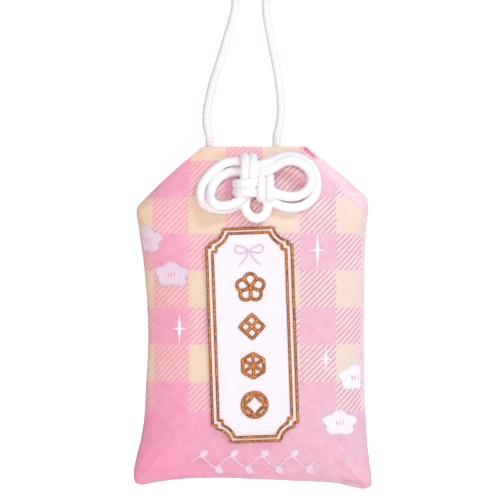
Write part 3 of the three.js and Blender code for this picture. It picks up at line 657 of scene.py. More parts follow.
hangingCord = {
    "diameter": 0.0018,
    "plait": 0.00075,
    "length": 0.0935,
    "ends": (-0.0092, 0.005),  # left and right hole
    "bendAbove": 0.003,  # how far from the hinge the cord bends
    "bendBelow": 0.0018,
    "hook": 0.0349,  # the hook above the pouch's top edge
    "hinge": (0.0008, 0.0019),  # back and up from the top edge
    "leg": [  # back and up from the top edge
        (-0.0012, -0.0059), (-0.0003, -0.00505), (0.0006, -0.0042), (0.0014, -0.0033),
        (0.002, -0.0022), (0.00215, -0.001), (0.00175, -0.0002), (0.0014, 0.0003),
    ],
    "loop": [  # across and up from the top edge
        (-0.0092, 0.0019), (-0.0097, 0.004), (-0.0098, 0.0066), (-0.0092, 0.01), (-0.0083, 0.0138),
        (-0.0069, 0.018), (-0.0055, 0.0226), (-0.0042, 0.027), (-0.0037, 0.0296), (-0.0038, 0.032),
        (-0.0031, 0.0342), (-0.0018, 0.0355), (-0.0004, 0.0358), (0.001, 0.0354), (0.0023, 0.0342),
        (0.0029, 0.032), (0.0027, 0.0295), (0.003, 0.0266), (0.0039, 0.0217), (0.0049, 0.0167),
        (0.0056, 0.0121), (0.0059, 0.0083), (0.0057, 0.0049), (0.005, 0.0019),
    ],
}


def braided(name, routes, diameter, material):
    values = {"Radius": diameter / 2, "Plait Length": hangingCord["plait"], "Material": material}
    return grown(name, [(route, False) for route in routes], braidedCord, values)


def makeHangingCord():
    hingeBack, hingeUp = hangingCord["hinge"]
    left, right = hangingCord["ends"]
    climb = hangingCord["hook"] - hingeUp
    route = [(left, back, up) for back, up in hangingCord["leg"]]
    route += [(x, hingeBack * (1 - (up - hingeUp) / climb), up) for x, up in hangingCord["loop"]]
    route += [(right, back, up) for back, up in reversed(hangingCord["leg"])]
    line = smoothRoute([(x, y, up + pouchTop) for x, y, up in route])
    mesh = braided("hangingCord", [line], hangingCord["diameter"], loopCord)
    cord = newPiece("hangingCord", mesh, None,
                    ("hanging_loop", "left_cord_leg", "right_cord_leg"))
    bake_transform(cord)
    long = sum(np.linalg.norm(b - a) for a, b in zip(line, line[1:]))
    print("hanging cord", round(long, 4), "m")


makeHangingCord()


# pouch

pouchCut = {
    "thickness": 0.0072, "mouth": 0.0024, "mouthTaper": 0.014,
    "edgeRoll": 0.008,
    "soften": 60, "softenFrom": (0.0008, 0.003),  # so that no ridge runs towards a corner
    "swells": [(0.017, 3, 0.00012), (0.009, 5, 0.00005)],  # size, seed and height of the uneven filling
    "swellFrom": (0.0005, 0.004), "pressFrom": (0, 0.0006),  # none at the seam, all of it further in
    "columns": 84, "rows": 128, "perSpan": 6, "mouthStep": 0.001,
    "fill": 0.55,
    "ease": (1.01, 1.003),  # what smoothing takes off again
    "left": [  # the seam, across and up from the top edge, down the left side
        (-0.0105, 0), (-0.0122, -0.0014), (-0.0151, -0.0039), (-0.0179, -0.0064), (-0.0206, -0.0089),
        (-0.0231, -0.0114), (-0.0243, -0.0128), (-0.0245, -0.0146), (-0.0242, -0.0165),
        (-0.0237, -0.0198), (-0.0231, -0.024), (-0.0227, -0.0282), (-0.0223, -0.0333),
        (-0.0221, -0.0387), (-0.0222, -0.0442), (-0.0225, -0.0492), (-0.0229, -0.0568),
        (-0.0237, -0.0618), (-0.0244, -0.0644), (-0.025, -0.0673), (-0.0251, -0.0692), (-0.0246, -0.0709),
    ],
    "foot": [  # left to right
        (-0.0233, -0.0714), (-0.0195, -0.0708), (-0.0147, -0.0702), (-0.008, -0.07), (-0.001, -0.0702),
        (0.0078, -0.0706), (0.0162, -0.071), (0.0184, -0.0713), (0.0205, -0.0719), (0.0237, -0.0722),
    ],
    "right": [  # up the right side
        (0.0248, -0.0712), (0.0249, -0.0694), (0.0246, -0.0669), (0.0243, -0.0644), (0.024, -0.0618),
        (0.0238, -0.0585), (0.0235, -0.0534), (0.0234, -0.045), (0.0234, -0.0324), (0.0235, -0.024),
        (0.0237, -0.019), (0.0241, -0.0152), (0.0243, -0.0129), (0.0238, -0.0109), (0.0219, -0.0089),
        (0.019, -0.0064), (0.016, -0.0039), (0.0131, -0.0015), (0.0122, -0.0006), (0.0111, 0),
    ],
}
pouchSim = {
    "grow": 10.0,  # cloth behaves better at this size
    "frames": 20, "pressure": 4.0, "vertexMass": 0.01, "stretch": 25, "bend": 1.5, "quality": 6,
    "startFill": 0.8, "mostMove": 0.0009,
}
pouchFolds = [  # grooves pressed into the front: from, to, half width, depth, and the darkness of the painted shade in them
    ((0.0109, -0.0007), (0.0129, -0.0023), 0.0004, 0.0005, 0.3),
    ((-0.0089, -0.0019), (-0.0052, -0.0022), 0.0004, 0.0003, 0.15),
    ((0.0186, -0.0706), (0.0236, -0.0715), 0.00035, 0.0004, 0.35),
]
sideSeam = {
    "inset": 0.0009, "halfWidth": 0.0004, "depth": 0.0003, "edge": (-0.0001, 0.0003),
    "top": 0.0135, "bottom": 0.0565, "fade": 0.003,
}
chamferFold = {
    "start": (0.0126, -0.0014), "end": (0.0238, -0.011),
    "width": (0.0007, 0.0024), "edge": (-0.0005, 0.0007),  # it widens downwards
}


def pouchOutline():  # anticlockwise from the top left corner, with the start of each of its four sides
    stops = pouchCut["left"] + pouchCut["foot"] + pouchCut["right"]
    perSpan = pouchCut["perSpan"]
    mouth = subdivided([stops[-1], stops[0]], False, pouchCut["mouthStep"])
    line = np.array(smoothRoute(stops, perSpan)[:-1] + mouth[:-1])
    footStart = len(pouchCut["left"]) - 1
    footEnd = footStart + len(pouchCut["foot"]) + 1
    marks = [0, footStart * perSpan, footEnd * perSpan, (len(stops) - 1) * perSpan]
    return line * pouchCut["ease"] + (0, pouchTop), marks


def evenly(line, count):
    along = np.concatenate([[0], np.cumsum(np.linalg.norm(np.diff(line, axis=0), axis=1))])
    at = np.linspace(0, along[-1], count + 1)
    return np.stack([np.interp(at, along, line[:, k]) for k in range(2)], axis=1)


def clothGrid(outline, marks, columns, rows):  # a patch whose rows and columns follow the outline
    closed = np.vstack([outline, outline[:1]])
    left = evenly(closed[:marks[1] + 1], rows)
    bottom = evenly(closed[marks[1]:marks[2] + 1], columns)
    right = evenly(closed[marks[2]:marks[3] + 1], rows)[::-1]
    top = evenly(closed[marks[3]:], columns)[::-1]
    u = np.linspace(0, 1, columns + 1)[None, :, None]
    v = np.linspace(0, 1, rows + 1)[:, None, None]
    sides = (1 - u) * left[:, None] + u * right[:, None]
    ends = (1 - v) * top[None] + v * bottom[None]
    corners = ((1 - u) * (1 - v) * left[0] + u * (1 - v) * right[0]
               + (1 - u) * v * left[-1] + u * v * right[-1])
    return sides + ends - corners


def insideBy(points, outline):  # how far points are inside the outline, and the way out
    best = np.full(len(points), np.inf)
    wayOut = np.zeros_like(points)
    for start, step in zip(outline, np.roll(outline, -1, axis=0) - outline):
        share = np.clip(((points - start) @ step) / max(step @ step, 1e-15), 0, 1)
        far = np.linalg.norm(points - start - share[:, None] * step, axis=1)
        closer = far < best
        best[closer] = far[closer]
        wayOut[closer] = np.array([step[1], -step[0]]) / max(np.linalg.norm(step), 1e-9)
    return best, wayOut


def eased(value, low, high):
    share = np.clip((value - low) / (high - low), 0, 1)
    return share * share * (3 - 2 * share)


def blurred(values, times):
    for _ in range(times):
        wide = np.pad(values, 1, mode="edge")
        values = (wide[:-2, 1:-1] + wide[2:, 1:-1] + wide[1:-1, :-2] + wide[1:-1, 2:] + 4 * values) / 8
    return values


def softSwell(x, z, size, seed, waves=6):  # slow uneven waves, the same each run
    rng = np.random.default_rng(seed)
    turns = rng.uniform(0, 2 * math.pi, waves)
    phases = rng.uniform(0, 2 * math.pi, waves)
    total = np.zeros_like(x)
    for turn, phase in zip(turns, phases):
        total += np.sin((x * math.cos(turn) + z * math.sin(turn)) * 2 * math.pi / size + phase)
    return total / waves


def pillow(grid, depth):  # front and back sheets that share their edge
    rows, columns = grid.shape[0] - 1, grid.shape[1] - 1
    front = np.arange((rows + 1) * (columns + 1)).reshape(rows + 1, columns + 1)
    back = front.copy()
    inner = (rows - 1) * (columns - 1)
    back[1:-1, 1:-1] = np.arange(inner).reshape(rows - 1, columns - 1) + front.size
    flat = np.vstack([grid.reshape(-1, 2), grid[1:-1, 1:-1].reshape(-1, 2)])
    y = np.concatenate([-depth.ravel(), depth[1:-1, 1:-1].ravel()])
    edge = np.zeros((rows + 1, columns + 1), bool)
    edge[[0, -1], :] = True
    edge[:, [0, -1]] = True
    y[:front.size][edge.ravel()] = 0
    points = np.stack([flat[:, 0], y, flat[:, 1]], axis=1)
    faces = []
    for sheet, flip in ((front, False), (back, True)):
        corners = [sheet[:-1, :-1], sheet[1:, :-1], sheet[1:, 1:], sheet[:-1, 1:]]
        quads = np.stack(corners, axis=-1).reshape(-1, 4)
        faces.append(quads[:, ::-1] if flip else quads)
    return points, np.vstack(faces), front, back, front[edge]


def puffUp(points, faces, pinned):  # lets pressure swell the sewn cloth, held at its seam
    grow, frames = pouchSim["grow"], pouchSim["frames"]
    piece = newPiece("pouchSim", newMesh("pouchSim", points * grow, faces))
    piece.vertex_groups.new(name="seam").add([int(i) for i in pinned], 1.0, "ADD")
    cloth = piece.modifiers.new("cloth", "CLOTH")
    settings = cloth.settings
    settings.quality = pouchSim["quality"]
    settings.mass = pouchSim["vertexMass"]
    settings.tension_stiffness = settings.compression_stiffness = pouchSim["stretch"]
    settings.bending_stiffness = pouchSim["bend"]
    settings.use_pressure = True
    settings.uniform_pressure_force = pouchSim["pressure"]
    settings.vertex_group_mass = "seam"
    settings.effector_weights.gravity = 0
    cloth.collision_settings.use_collision = False
    cloth.point_cache.frame_start, cloth.point_cache.frame_end = 1, frames
    for step in range(1, frames + 1):
        scene.frame_set(step)
    evaluated = piece.evaluated_get(bpy.context.evaluated_depsgraph_get())
    swollen = np.array([vertex.co for vertex in evaluated.data.vertices], float) / grow
    scene.frame_set(1)
    bpy.data.objects.remove(piece)
    move = swollen - points
    far = np.linalg.norm(move, axis=1, keepdims=True)
    print("pouch swelled by", round(float(far.max()) * 1000, 2), "mm")
    return points + move * np.minimum(1, pouchSim["mostMove"] / np.maximum(far, 1e-9))


def lineDistance(points, start, end):
    step = end - start
    share = np.clip(((points - start) @ step) / (step @ step), 0, 1)
    return np.linalg.norm(points - start - share[..., None] * step, axis=-1)


def fromTopEdge(*spots):
    return [np.array(spot) + (0, pouchTop) for spot in spots]


def cushionDepth(grid, inside):  # half the thickness, before the cloth swells
    share = np.clip(inside / pouchCut["edgeRoll"], 0, 1)
    crown = pouchCut["mouth"] + (pouchCut["thickness"] - pouchCut["mouth"]) * eased(
        pouchTop - grid[..., 1], 0, pouchCut["mouthTaper"])
    depth = crown / 2 * np.sqrt(1 - (1 - share) ** 2)
    return depth + (blurred(depth, pouchCut["soften"]) - depth) * eased(inside, *pouchCut["softenFrom"])


def pressedFolds(grid):  # how deep the grooves are, and how much painted shade they get
    groove, creaseShade = np.zeros(grid.shape[:2]), np.zeros(grid.shape[:2])
    for start, end, halfWidth, deep, dark in pouchFolds:
        press = np.exp(-(lineDistance(grid, *fromTopEdge(start, end)) / halfWidth) ** 2)
        groove += deep * press
        creaseShade = np.maximum(creaseShade, dark * press)
    return groove, creaseShade


def turnedEdge(grid):  # the right side's seam groove, and the strip that is turned round beyond it, paler from a painted highlight
    x, z = grid[..., 0], grid[..., 1]
    top, bottom, soft = sideSeam["top"], sideSeam["bottom"], sideSeam["fade"]
    fade = eased(pouchTop - z, top - soft, top + soft)
    fade *= 1 - eased(pouchTop - z, bottom - soft, bottom + soft)
    beyond = x - (grid[:, -1:, 0] - sideSeam["inset"] * fade)
    groove = sideSeam["depth"] * fade * np.exp(-(beyond / sideSeam["halfWidth"]) ** 2)
    start, end = fromTopEdge(chamferFold["start"], chamferFold["end"])
    down = np.clip((start[1] - z) / (start[1] - end[1]), 0, 1)
    narrow, wide = chamferFold["width"]
    past = lineDistance(grid, start, end) - (narrow + (wide - narrow) * down)
    fold = 1 - eased(past, *chamferFold["edge"])
    return groove, np.maximum(eased(beyond, *sideSeam["edge"]) * fade, fold)


# how much further out the cloth reaches once its rolled edge is laid flat
def rolledOut(inside, steps=200):
    roll, half = pouchCut["edgeRoll"], pouchCut["thickness"] / 2
    at = np.linspace(0, roll, steps)
    rise = half * np.sqrt(1 - (1 - at / roll) ** 2)
    extra = np.hypot(np.diff(at), np.diff(rise)) - np.diff(at)
    return np.interp(inside, at, np.append(np.cumsum(extra[::-1])[::-1], 0))


def layFlat(mesh, flat, front, back):  # the cloth laid flat, so that the weave runs straight
    layer = mesh.uv_layers.new(name="flatCloth")
    place = np.zeros((max(front.max(), back.max()) + 1, 2))
    place[front] = place[back] = flat
    corner = np.zeros(len(mesh.loops), int)
    mesh.loops.foreach_get("vertex_index", corner)
    layer.data.foreach_set("uv", place[corner].astype(np.float32).ravel())


def makePouch():
    outline, marks = pouchOutline()
    grid = clothGrid(outline, marks, pouchCut["columns"], pouchCut["rows"])
    inside, wayOut = insideBy(grid.reshape(-1, 2), outline)
    inside, wayOut = inside.reshape(grid.shape[:2]), wayOut.reshape(grid.shape)
    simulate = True
    depth = cushionDepth(grid, inside) * (pouchSim["startFill"] if simulate else 1)
    points, faces, front, back, seam = pillow(grid, depth)
    if simulate:
        points = puffUp(points, faces, seam)

    swell = sum(softSwell(grid[..., 0], grid[..., 1], size, seed) * height
                for size, seed, height in pouchCut["swells"])
    swell *= eased(inside, *pouchCut["swellFrom"])
    marked = {name: np.zeros(len(points), np.float32) for name in ("sideStrip", "creaseShade", "front")}
    groove, marked["creaseShade"][front] = pressedFolds(grid)
    seamGroove, marked["sideStrip"][front] = turnedEdge(grid)
    marked["front"][front] = 1
    fade = eased(inside, *pouchCut["pressFrom"])
    points[front, 1] += (groove + seamGroove - swell) * fade
    points[back, 1] += swell * fade

    mesh = newMesh("pouchCushion", points, faces, material=brocade)
    for name, values in marked.items():
        mesh.attributes.new(name, "FLOAT", "POINT").data.foreach_set("value", values)
    layFlat(mesh, grid + wayOut * rolledOut(inside)[..., None], front, back)
    pouch = newPiece("pouchCushion", mesh, "pouch", ("pouch_front", "pouch_back"))
    finer = pouch.modifiers.new("finer", "SUBSURF")
    finer.levels = finer.render_levels = 1
    print("pouch", len(mesh.polygons), "faces before smoothing")
    return pouch, outline


pouchPiece, pouchEdge = makePouch()
clothSurface = BVHTree.FromObject(pouchPiece, bpy.context.evaluated_depsgraph_get())
pinStart = -0.1  # well in front of the cloth


def onFront(x, z, off=0.0):  # where a straight pin from the front would meet the cloth
    hit = clothSurface.ray_cast(Vector((x, pinStart, z)), Vector((0, 1, 0)))[0]
    return (x, (hit.y if hit else 0.0) - off, z)


# knot, tied from the same cord: points across, up from the top edge, and lifted off the cloth

knotRoutes = {
    "leftEarOuter": [
        (-0.0006, -0.0039, 0.0001), (-0.0031, -0.0035, 0), (-0.0044, -0.0035, 0), (-0.006, -0.0038, 0),
        (-0.0084, -0.0056, 0), (-0.0103, -0.0078, 0), (-0.0109, -0.0097, 0), (-0.0106, -0.0117, 0),
        (-0.0094, -0.0129, 0), (-0.0077, -0.0134, 0), (-0.0057, -0.0135, 0), (-0.0039, -0.013, 0),
        (-0.0026, -0.0122, 0.0002), (-0.001, -0.011, 0.0005),
    ],
    "leftEarInner": [
        (-0.0008, -0.0057, 0.0001), (-0.0031, -0.0056, 0), (-0.005, -0.0058, 0), (-0.007, -0.0069, 0),
        (-0.0084, -0.0087, 0.0003), (-0.0089, -0.0104, 0.0011), (-0.0086, -0.0118, 0.0019),
        (-0.0074, -0.0127, 0.0021), (-0.0057, -0.0128, 0.0021), (-0.0038, -0.0123, 0.002),
        (-0.0024, -0.0113, 0.0017), (-0.0012, -0.0102, 0.0012),
    ],
    "rightEarOuter": [
        (0.001, -0.0046, 0.0012), (0.0018, -0.00415, 0.0024), (0.0028, -0.00395, 0.0027),
        (0.0039, -0.0035, 0.0017), (0.005, -0.003, 0.0006), (0.0062, -0.0025, 0.0001),
        (0.0079, -0.0024, 0), (0.0103, -0.0029, 0), (0.0123, -0.0045, 0), (0.0133, -0.0068, 0),
        (0.0132, -0.0096, 0), (0.0119, -0.0118, 0), (0.0097, -0.013, 0), (0.0071, -0.0131, 0),
        (0.0049, -0.0123, 0), (0.0034, -0.0112, 0.0002), (0.0022, -0.0102, 0.0004),
    ],
    "rightEarInner": [
        (0.001, -0.0059, 0.0012), (0.0018, -0.0057, 0.0024), (0.0029, -0.0056, 0.0028),
        (0.0041, -0.005, 0.0024), (0.0051, -0.0043, 0.0021), (0.0064, -0.0036, 0.002),
        (0.008, -0.0033, 0.002), (0.0102, -0.004, 0.002), (0.0118, -0.0056, 0.002),
        (0.0122, -0.0076, 0.002), (0.0114, -0.0094, 0.0016), (0.0095, -0.0106, 0.001),
        (0.0073, -0.0108, 0.0008), (0.0049, -0.0102, 0.001), (0.0036, -0.0096, 0.0008),
        (0.0022, -0.0092, 0.0005),
    ],
    "smallLoop": [
        (-0.0009, -0.0102, 0.0004), (-0.0014, -0.0115, 0.0005), (-0.0016, -0.013, 0.0005),
        (-0.0009, -0.0146, 0.0003), (0.0007, -0.0154, 0.0002), (0.0023, -0.0147, 0.0003),
        (0.003, -0.0132, 0.0005), (0.0028, -0.0116, 0.0005), (0.0024, -0.0103, 0.0004),
    ],
    "topPair": [
        (-0.0009, -0.0033, 0.0003), (-0.0009, -0.0027, 0.0013), (-0.0009, -0.0037, 0.0027),
        (-0.0009, -0.0052, 0.003), (-0.0009, -0.0068, 0.0021), (-0.0009, -0.008, 0.0009),
    ],
    "bottomPair": [
        (0.0026, -0.0105, 0.0003), (0.0026, -0.0111, 0.0013), (0.0026, -0.0102, 0.0027),
        (0.0026, -0.009, 0.003), (0.0026, -0.0076, 0.0021), (0.0026, -0.0065, 0.0009),
    ],
    "leftPair": [
        (-0.0028, -0.0091, 0.0003), (-0.0034, -0.0091, 0.0013), (-0.0025, -0.0091, 0.0027),
        (-0.0012, -0.0091, 0.003), (0.0002, -0.0091, 0.0021), (0.0013, -0.0091, 0.0009),
    ],
    "backUpright": [(0.0008, -0.0034, 0), (0.0008, -0.007, 0.0001), (0.0008, -0.0105, 0)],
    "backCrossing": [(-0.0022, -0.007, 0.0003), (0.0008, -0.007, 0.0006), (0.0034, -0.007, 0.0003)],
}
knotTie = {"diameter": 0.00205, "spread": 0.0017, "clear": 0.00005}


def knotLine(name, aside=(0, 0)):
    rise = knotTie["clear"] + knotTie["diameter"] / 2
    return smoothRoute([onFront(x + aside[0], up + pouchTop + aside[1], rise + lift)
                        for x, up, lift in knotRoutes[name]])


def knotPair(name, along):
    half = knotTie["spread"] / 2
    return [knotLine(name, (side * half * along[0], side * half * along[1])) for side in (-1, 1)]


def makeKnot():
    sideways, upright = (1, 0), (0, 1)
    pieces = {
        "leftEar": ([knotLine("leftEarOuter"), knotLine("leftEarInner")],
                    ("left_ear_outer", "left_ear_inner")),
        "rightEar": ([knotLine("rightEarOuter"), knotLine("rightEarInner")],
                     ("right_ear_outer", "right_ear_inner", "knot_right_pair")),
        "smallLoop": ([knotLine("smallLoop")], ("small_loop",)),
        "knotTopPair": (knotPair("topPair", sideways), ("knot_top_pair",)),
        "knotBottomPair": (knotPair("bottomPair", sideways), ("knot_bottom_pair",)),
        "knotLeftPair": (knotPair("leftPair", upright), ("knot_left_pair",)),
        "knotBack": (knotPair("backUpright", sideways) + knotPair("backCrossing", upright),
                     ("knot_back",)),
    }
    for name, (routes, nodes) in pieces.items():
        mesh = braided(name, routes, knotTie["diameter"], knotCord)
        newPiece(name, mesh, "knot", nodes)


makeKnot()


# label

label = {
    "width": 0.0183, "height": 0.04495, "drop": 0.01715,
    "lean": math.radians(2.0),  # the top leans to the left
    "across": -0.00017,
    "notch": 0.0028, "step": 0.00085,
    "off": 0.0001, "thickness": 0.0003,
    "frameLine": 0.00055, "frameSpacing": (0.0012, 0.00095),  # across and up
    "columns": 26, "rowHeight": 0.0007,
    "notchRows": (0, 0.1, 0.25, 0.4, 0.55, 0.7, 0.85, 1),  # shares of the notch
    "crisp": 2.5e-5,  # rows this close on either side keep the steps sharp
}
labelMiddle = pouchTop - label["drop"] - label["height"] / 2
labelFace = label["off"] + label["thickness"]


def onLabel(across, up, off=0.0):  # a point of the label's own flat pattern, on the pouch
    x = across * math.cos(label["lean"]) - up * math.sin(label["lean"]) + label["across"]
    z = across * math.sin(label["lean"]) + up * math.cos(label["lean"]) + labelMiddle
    return onFront(x, z, labelFace + off)


# anticlockwise, drawn in by across and up, with a hollow and a step at each corner
def labelEdge(across, up, steps=8):
    hollow = label["notch"] + (across + up) / 2
    middle = (label["width"] / 2 - label["step"], label["height"] / 2)
    shoulder = middle[1] - label["notch"] - label["step"] - up
    corner = [(label["width"] / 2 - across, shoulder), (middle[0] - across, shoulder)]
    first = -math.pi / 2 - math.asin(across / hollow)
    last = -math.pi + math.asin(up / hollow)
    for i in range(steps + 1):
        angle = first + (last - first) * i / steps
        corner.append((middle[0] + hollow * math.cos(angle), middle[1] + hollow * math.sin(angle)))
    edge = []
    for sideX, sideY in ((1, 1), (-1, 1), (-1, -1), (1, -1)):
        mirrored = [(x * sideX, y * sideY) for x, y in corner]
        edge += mirrored if sideX * sideY > 0 else mirrored[::-1]
    return edge


def labelHalfWidth(up):
    fromTop = label["height"] / 2 - abs(up)
    half = label["width"] / 2
    if fromTop > label["notch"] + label["step"] + 1e-9:
        return half
    inner = half - label["step"]
    if fromTop > label["notch"]:
        return inner
    return inner - math.sqrt(max(0, label["notch"] ** 2 - fromTop ** 2))


def makeLabel():
    top, crisp, columns = label["height"] / 2, label["crisp"], label["columns"]
    shoulder = top - label["notch"] - label["step"]
    notch = [top - label["notch"] * share for share in label["notchRows"]]
    straight = np.linspace(shoulder - crisp, 0, round(shoulder / label["rowHeight"]))
    upper = [*notch, shoulder + crisp, *straight]
    points = []
    for up in upper + [-up for up in reversed(upper[:-1])]:
        half = labelHalfWidth(up)
        row = [half * (2 * i / columns - 1) for i in range(columns + 1)]
        points += [onLabel(across, up, -label["thickness"]) for across in row]
    faces = []
    for first in range(0, len(points) - columns - 1, columns + 1):
        below = first + columns + 1
        faces += [(first + i, below + i, below + i + 1, first + i + 1) for i in range(columns)]
    mesh = newMesh("labelPanel", points, faces, material=satin)
    panel = newPiece("labelPanel", mesh, "pouch", ("label_panel",))
    thick = panel.modifiers.new("thickness", "SOLIDIFY")
    thick.thickness, thick.offset = label["thickness"], 1.0
    print("label", len(faces), "faces")


makeLabel()


# stitched ornaments

stitchSockets = ("Length", "Thread", "Rise", "Spacing", "Slant", "Seed")
stitching = {  # a value for each of these sockets
    "frame": (0.0009, 0.0003, 0.00052, 0.00025, 0.92, 4),
    "emblem": (0.00094, 0.00028, 0.0004, 0.0002, 1.25, 7),
    "bow": (0.00066, 0.00032, 0.00026, 0.00022, 0.4, 11),
    "vine": (0.00062, 0.00024, 0.00022, 0.0002, 0.5, 13),
    "seam": (0.002, 0.0004, 0.0004, 0.0024, 0.0, 17),
}
threadLift = 0.0001  # the middle of a stitch above the cloth
emblem = {
    "radius": 0.0033, "pitch": 0.00815, "head": 0.0093, "line": 0.00075,
    "petals": 5, "valley": 0.72, "hollow": 1.6, "petalSteps": 60, "ringSteps": 40,
}
bow = {
    "width": 0.0058, "height": 0.0042, "drop": 0.0052, "perSpan": 6,
    "loop": [(0, 0.1), (0.28, 0.3), (0.46, 0.32), (0.5, 0.12), (0.4, -0.04), (0.2, -0.02), (0, 0.1)],
    "tail": [(0.02, 0.05), (0.16, -0.34), (0.36, -0.62)],  # in shares of its width and height
}


def around(count, radiusAt, turn=0.0):
    angles = [turn + 2 * math.pi * i / count for i in range(count)]
    return [(radiusAt(angle) * math.cos(angle), radiusAt(angle) * math.sin(angle)) for angle in angles]


def petalEdge(angle):
    lobe = abs(math.cos(emblem["petals"] / 2 * (angle - math.pi / 2)))
    return emblem["valley"] + (1 - emblem["valley"]) * lobe


def blossomLines():  # five petals and a line to each gap between them
    outer = emblem["radius"] - emblem["line"] / 2
    firstGap = math.pi / 2 + math.pi / emblem["petals"]
    gaps = around(emblem["petals"], lambda angle: outer * emblem["valley"], firstGap)
    ring = around(emblem["petalSteps"], lambda angle: outer * petalEdge(angle))
    return [(ring, True)] + [([(0, 0), gap], False) for gap in gaps]


def lozengeLines():  # four lozenges corner to corner
    half = (emblem["radius"] - emblem["line"]) / 2
    corners = around(4, lambda angle: half)
    return [([(x + a, y + b) for a, b in corners], True) for x, y in corners]


def hempLeafLines():  # a hexagon with a six-rayed star
    corners = around(6, lambda angle: emblem["radius"] - emblem["line"], math.pi / 6)
    return [(corners, True)] + [([corners[i], corners[i + 3]], False) for i in range(3)]


def ringsLines():  # a circle with four arcs that bow in between its quarter points
    radius, steps = emblem["radius"] - emblem["line"], emblem["ringSteps"]

    def hollow(angle):
        return radius / (abs(math.cos(angle)) + abs(math.sin(angle))) ** emblem["hollow"]

    return [(around(steps, lambda angle: radius), True), (around(steps, hollow), True)]


def bowLines():  # two drooping loops and two tails
    lines = []
    for line in (bow["loop"], bow["tail"]):
        for side in (1, -1):
            spots = [(side * x * bow["width"], y * bow["height"]) for x, y in line]
            lines.append((smoothRoute(spots, bow["perSpan"]), False))
    return lines


def stitched(name, lines, style, material, node):  # its lines already lie on the cloth or label
    values = {**dict(zip(stitchSockets, stitching[style])), "Material": material}
    newPiece(name, grown(name, lines, satinStitch, values), "pouch", (node,))


def sewnOnLabel(name, lines, style, material, node, height=0.0):
    laid = [([onLabel(x, y + height, threadLift) for x, y in line], closed) for line, closed in lines]
    stitched(name, laid, style, material, node)


def makeLabelStitching():
    top, half = label["height"] / 2, label["frameLine"] / 2
    across, up = label["frameSpacing"]
    frames = {"labelFrameOuter": (labelEdge(half, half), "label_frame_outer"),
              "labelFrameInner": (labelEdge(half + across, half + up), "label_frame_inner")}
    for name, (line, node) in frames.items():
        sewnOnLabel(name, [(subdivided(line, True), True)], "frame", copperThread, node)
    emblems = {"emblemBlossom": (blossomLines, "emblem_blossom"),
               "emblemLozenge": (lozengeLines, "emblem_lozenge"),
               "emblemHempLeaf": (hempLeafLines, "emblem_hemp_leaf"),
               "emblemRings": (ringsLines, "emblem_rings")}
    first = top - emblem["head"] - emblem["radius"]
    for i, (name, (drawn, node)) in enumerate(emblems.items()):
        lines = [(subdivided(line, closed), closed) for line, closed in drawn()]
        height = first - i * emblem["pitch"]
        sewnOnLabel(name, lines, "emblem", copperThread, node, height)
    sewnOnLabel("bowMotif", bowLines(), "bow", lilacThread, "bow_motif",
                top - bow["drop"])


makeLabelStitching()


# ornaments woven into the cloth

weaving = {
    "thread": 0.0003, "row": 0.00022, "lift": 0.00002, "step": 0.00025,
    "edge": 0.0006, "seamAt": 0.0226,  # how near the side and the right seam a thread may come
    "seeds": {"vine": 15, "blossoms": 20, "stamens": 31, "sparkles": 40},
}
vine = {
    "length": 0.0254, "rise": 0.0059, "swing": 0.0011, "waves": 4, "perWave": 16,
    "leaf": 0.0021, "leafWidth": 0.0011, "leafTurn": 0.7, "leafBelly": (0.3, 0.65),
    "leafThreads": (-0.5, -0.33, -0.16, 0, 0.16, 0.33, 0.5),
}
pouchFoot = pouchTop + min(up for _, up in pouchCut["foot"])
blossoms = {  # middle across and below the top edge
    "blossomUpperLeft": ((-0.0226, 0.0199), "blossom_upper_left"),
    "blossomLeft": ((-0.017, 0.0271), "blossom_left"),
    "blossomRight": ((0.0214, 0.0487), "blossom_right"),
    "blossomLowerRight": ((0.0181, 0.0581), "blossom_lower_right"),
}
blossomForm = {
    "radius": 0.0038, "squeeze": 0.76, "scallop": 0.85, "steps": 80, "threadTurn": 1.25,
    "stamen": 0.0014, "foot": -0.4, "tip": 0.5,  # shares of a stamen below and above the middle
    "spread": 0.0008, "footSpread": 0.6,
}
sparkles = {  # middle, height and width
    "sparkleLeft": ((-0.0154, 0.0384), 0.0062, 0.003, "sparkle_left"),
    "sparkleUpperRight": ((0.0134, 0.022), 0.0074, 0.0036, "sparkle_upper_right"),
    "sparkleRight": ((0.0152, 0.0447), 0.0057, 0.0028, "sparkle_right"),
}
sparkleThreads = [(-0.00018, 0.5), (0, 1), (0.00018, 0.5)]  # off the middle, and share of the reach


def turned(spots, angle):
    c, s = math.cos(angle), math.sin(angle)
    return [(x * c - y * s, x * s + y * c) for x, y in spots]


def crossings(spots, level):  # where a closed line passes a level
    ends = np.roll(spots, -1, axis=0)
    return sorted(a[0] + (level - a[1]) * (b[0] - a[0]) / (b[1] - a[1])
                  for a, b in zip(spots, ends) if (a[1] > level) != (b[1] > level))


def fillLines(edge, row, angle):  # lines in one direction that fill an outline
    spots = np.array(turned(edge, -angle))
    lines = []
    for y in np.arange(spots[:, 1].min() + row / 2, spots[:, 1].max(), row):
        crossing = crossings(spots, y)
        lines += [turned([(a, y), (b, y)], angle) for a, b in zip(crossing[::2], crossing[1::2])]
    return lines


def inWovenPart(x, z):
    crossing = crossings(pouchEdge, z)
    return crossing[0] + weaving["edge"] < x < min(crossing[-1] - weaving["edge"], weaving["seamAt"])


def woven(name, lines, material, nodes, seed, lift=0.0):
    laid = []
    for line in lines:
        kept = [(x, z) for x, z in subdivided(line, False, weaving["step"]) if inWovenPart(x, z)]
        if len(kept) > 1:
            laid.append(([onFront(x, z, weaving["lift"] + lift) for x, z in kept], False))
    values = {"Thread": weaving["thread"], "Seed": seed, "Material": material}
    newPiece(name, grown(name, laid, laidThread, values), "pouch", nodes)


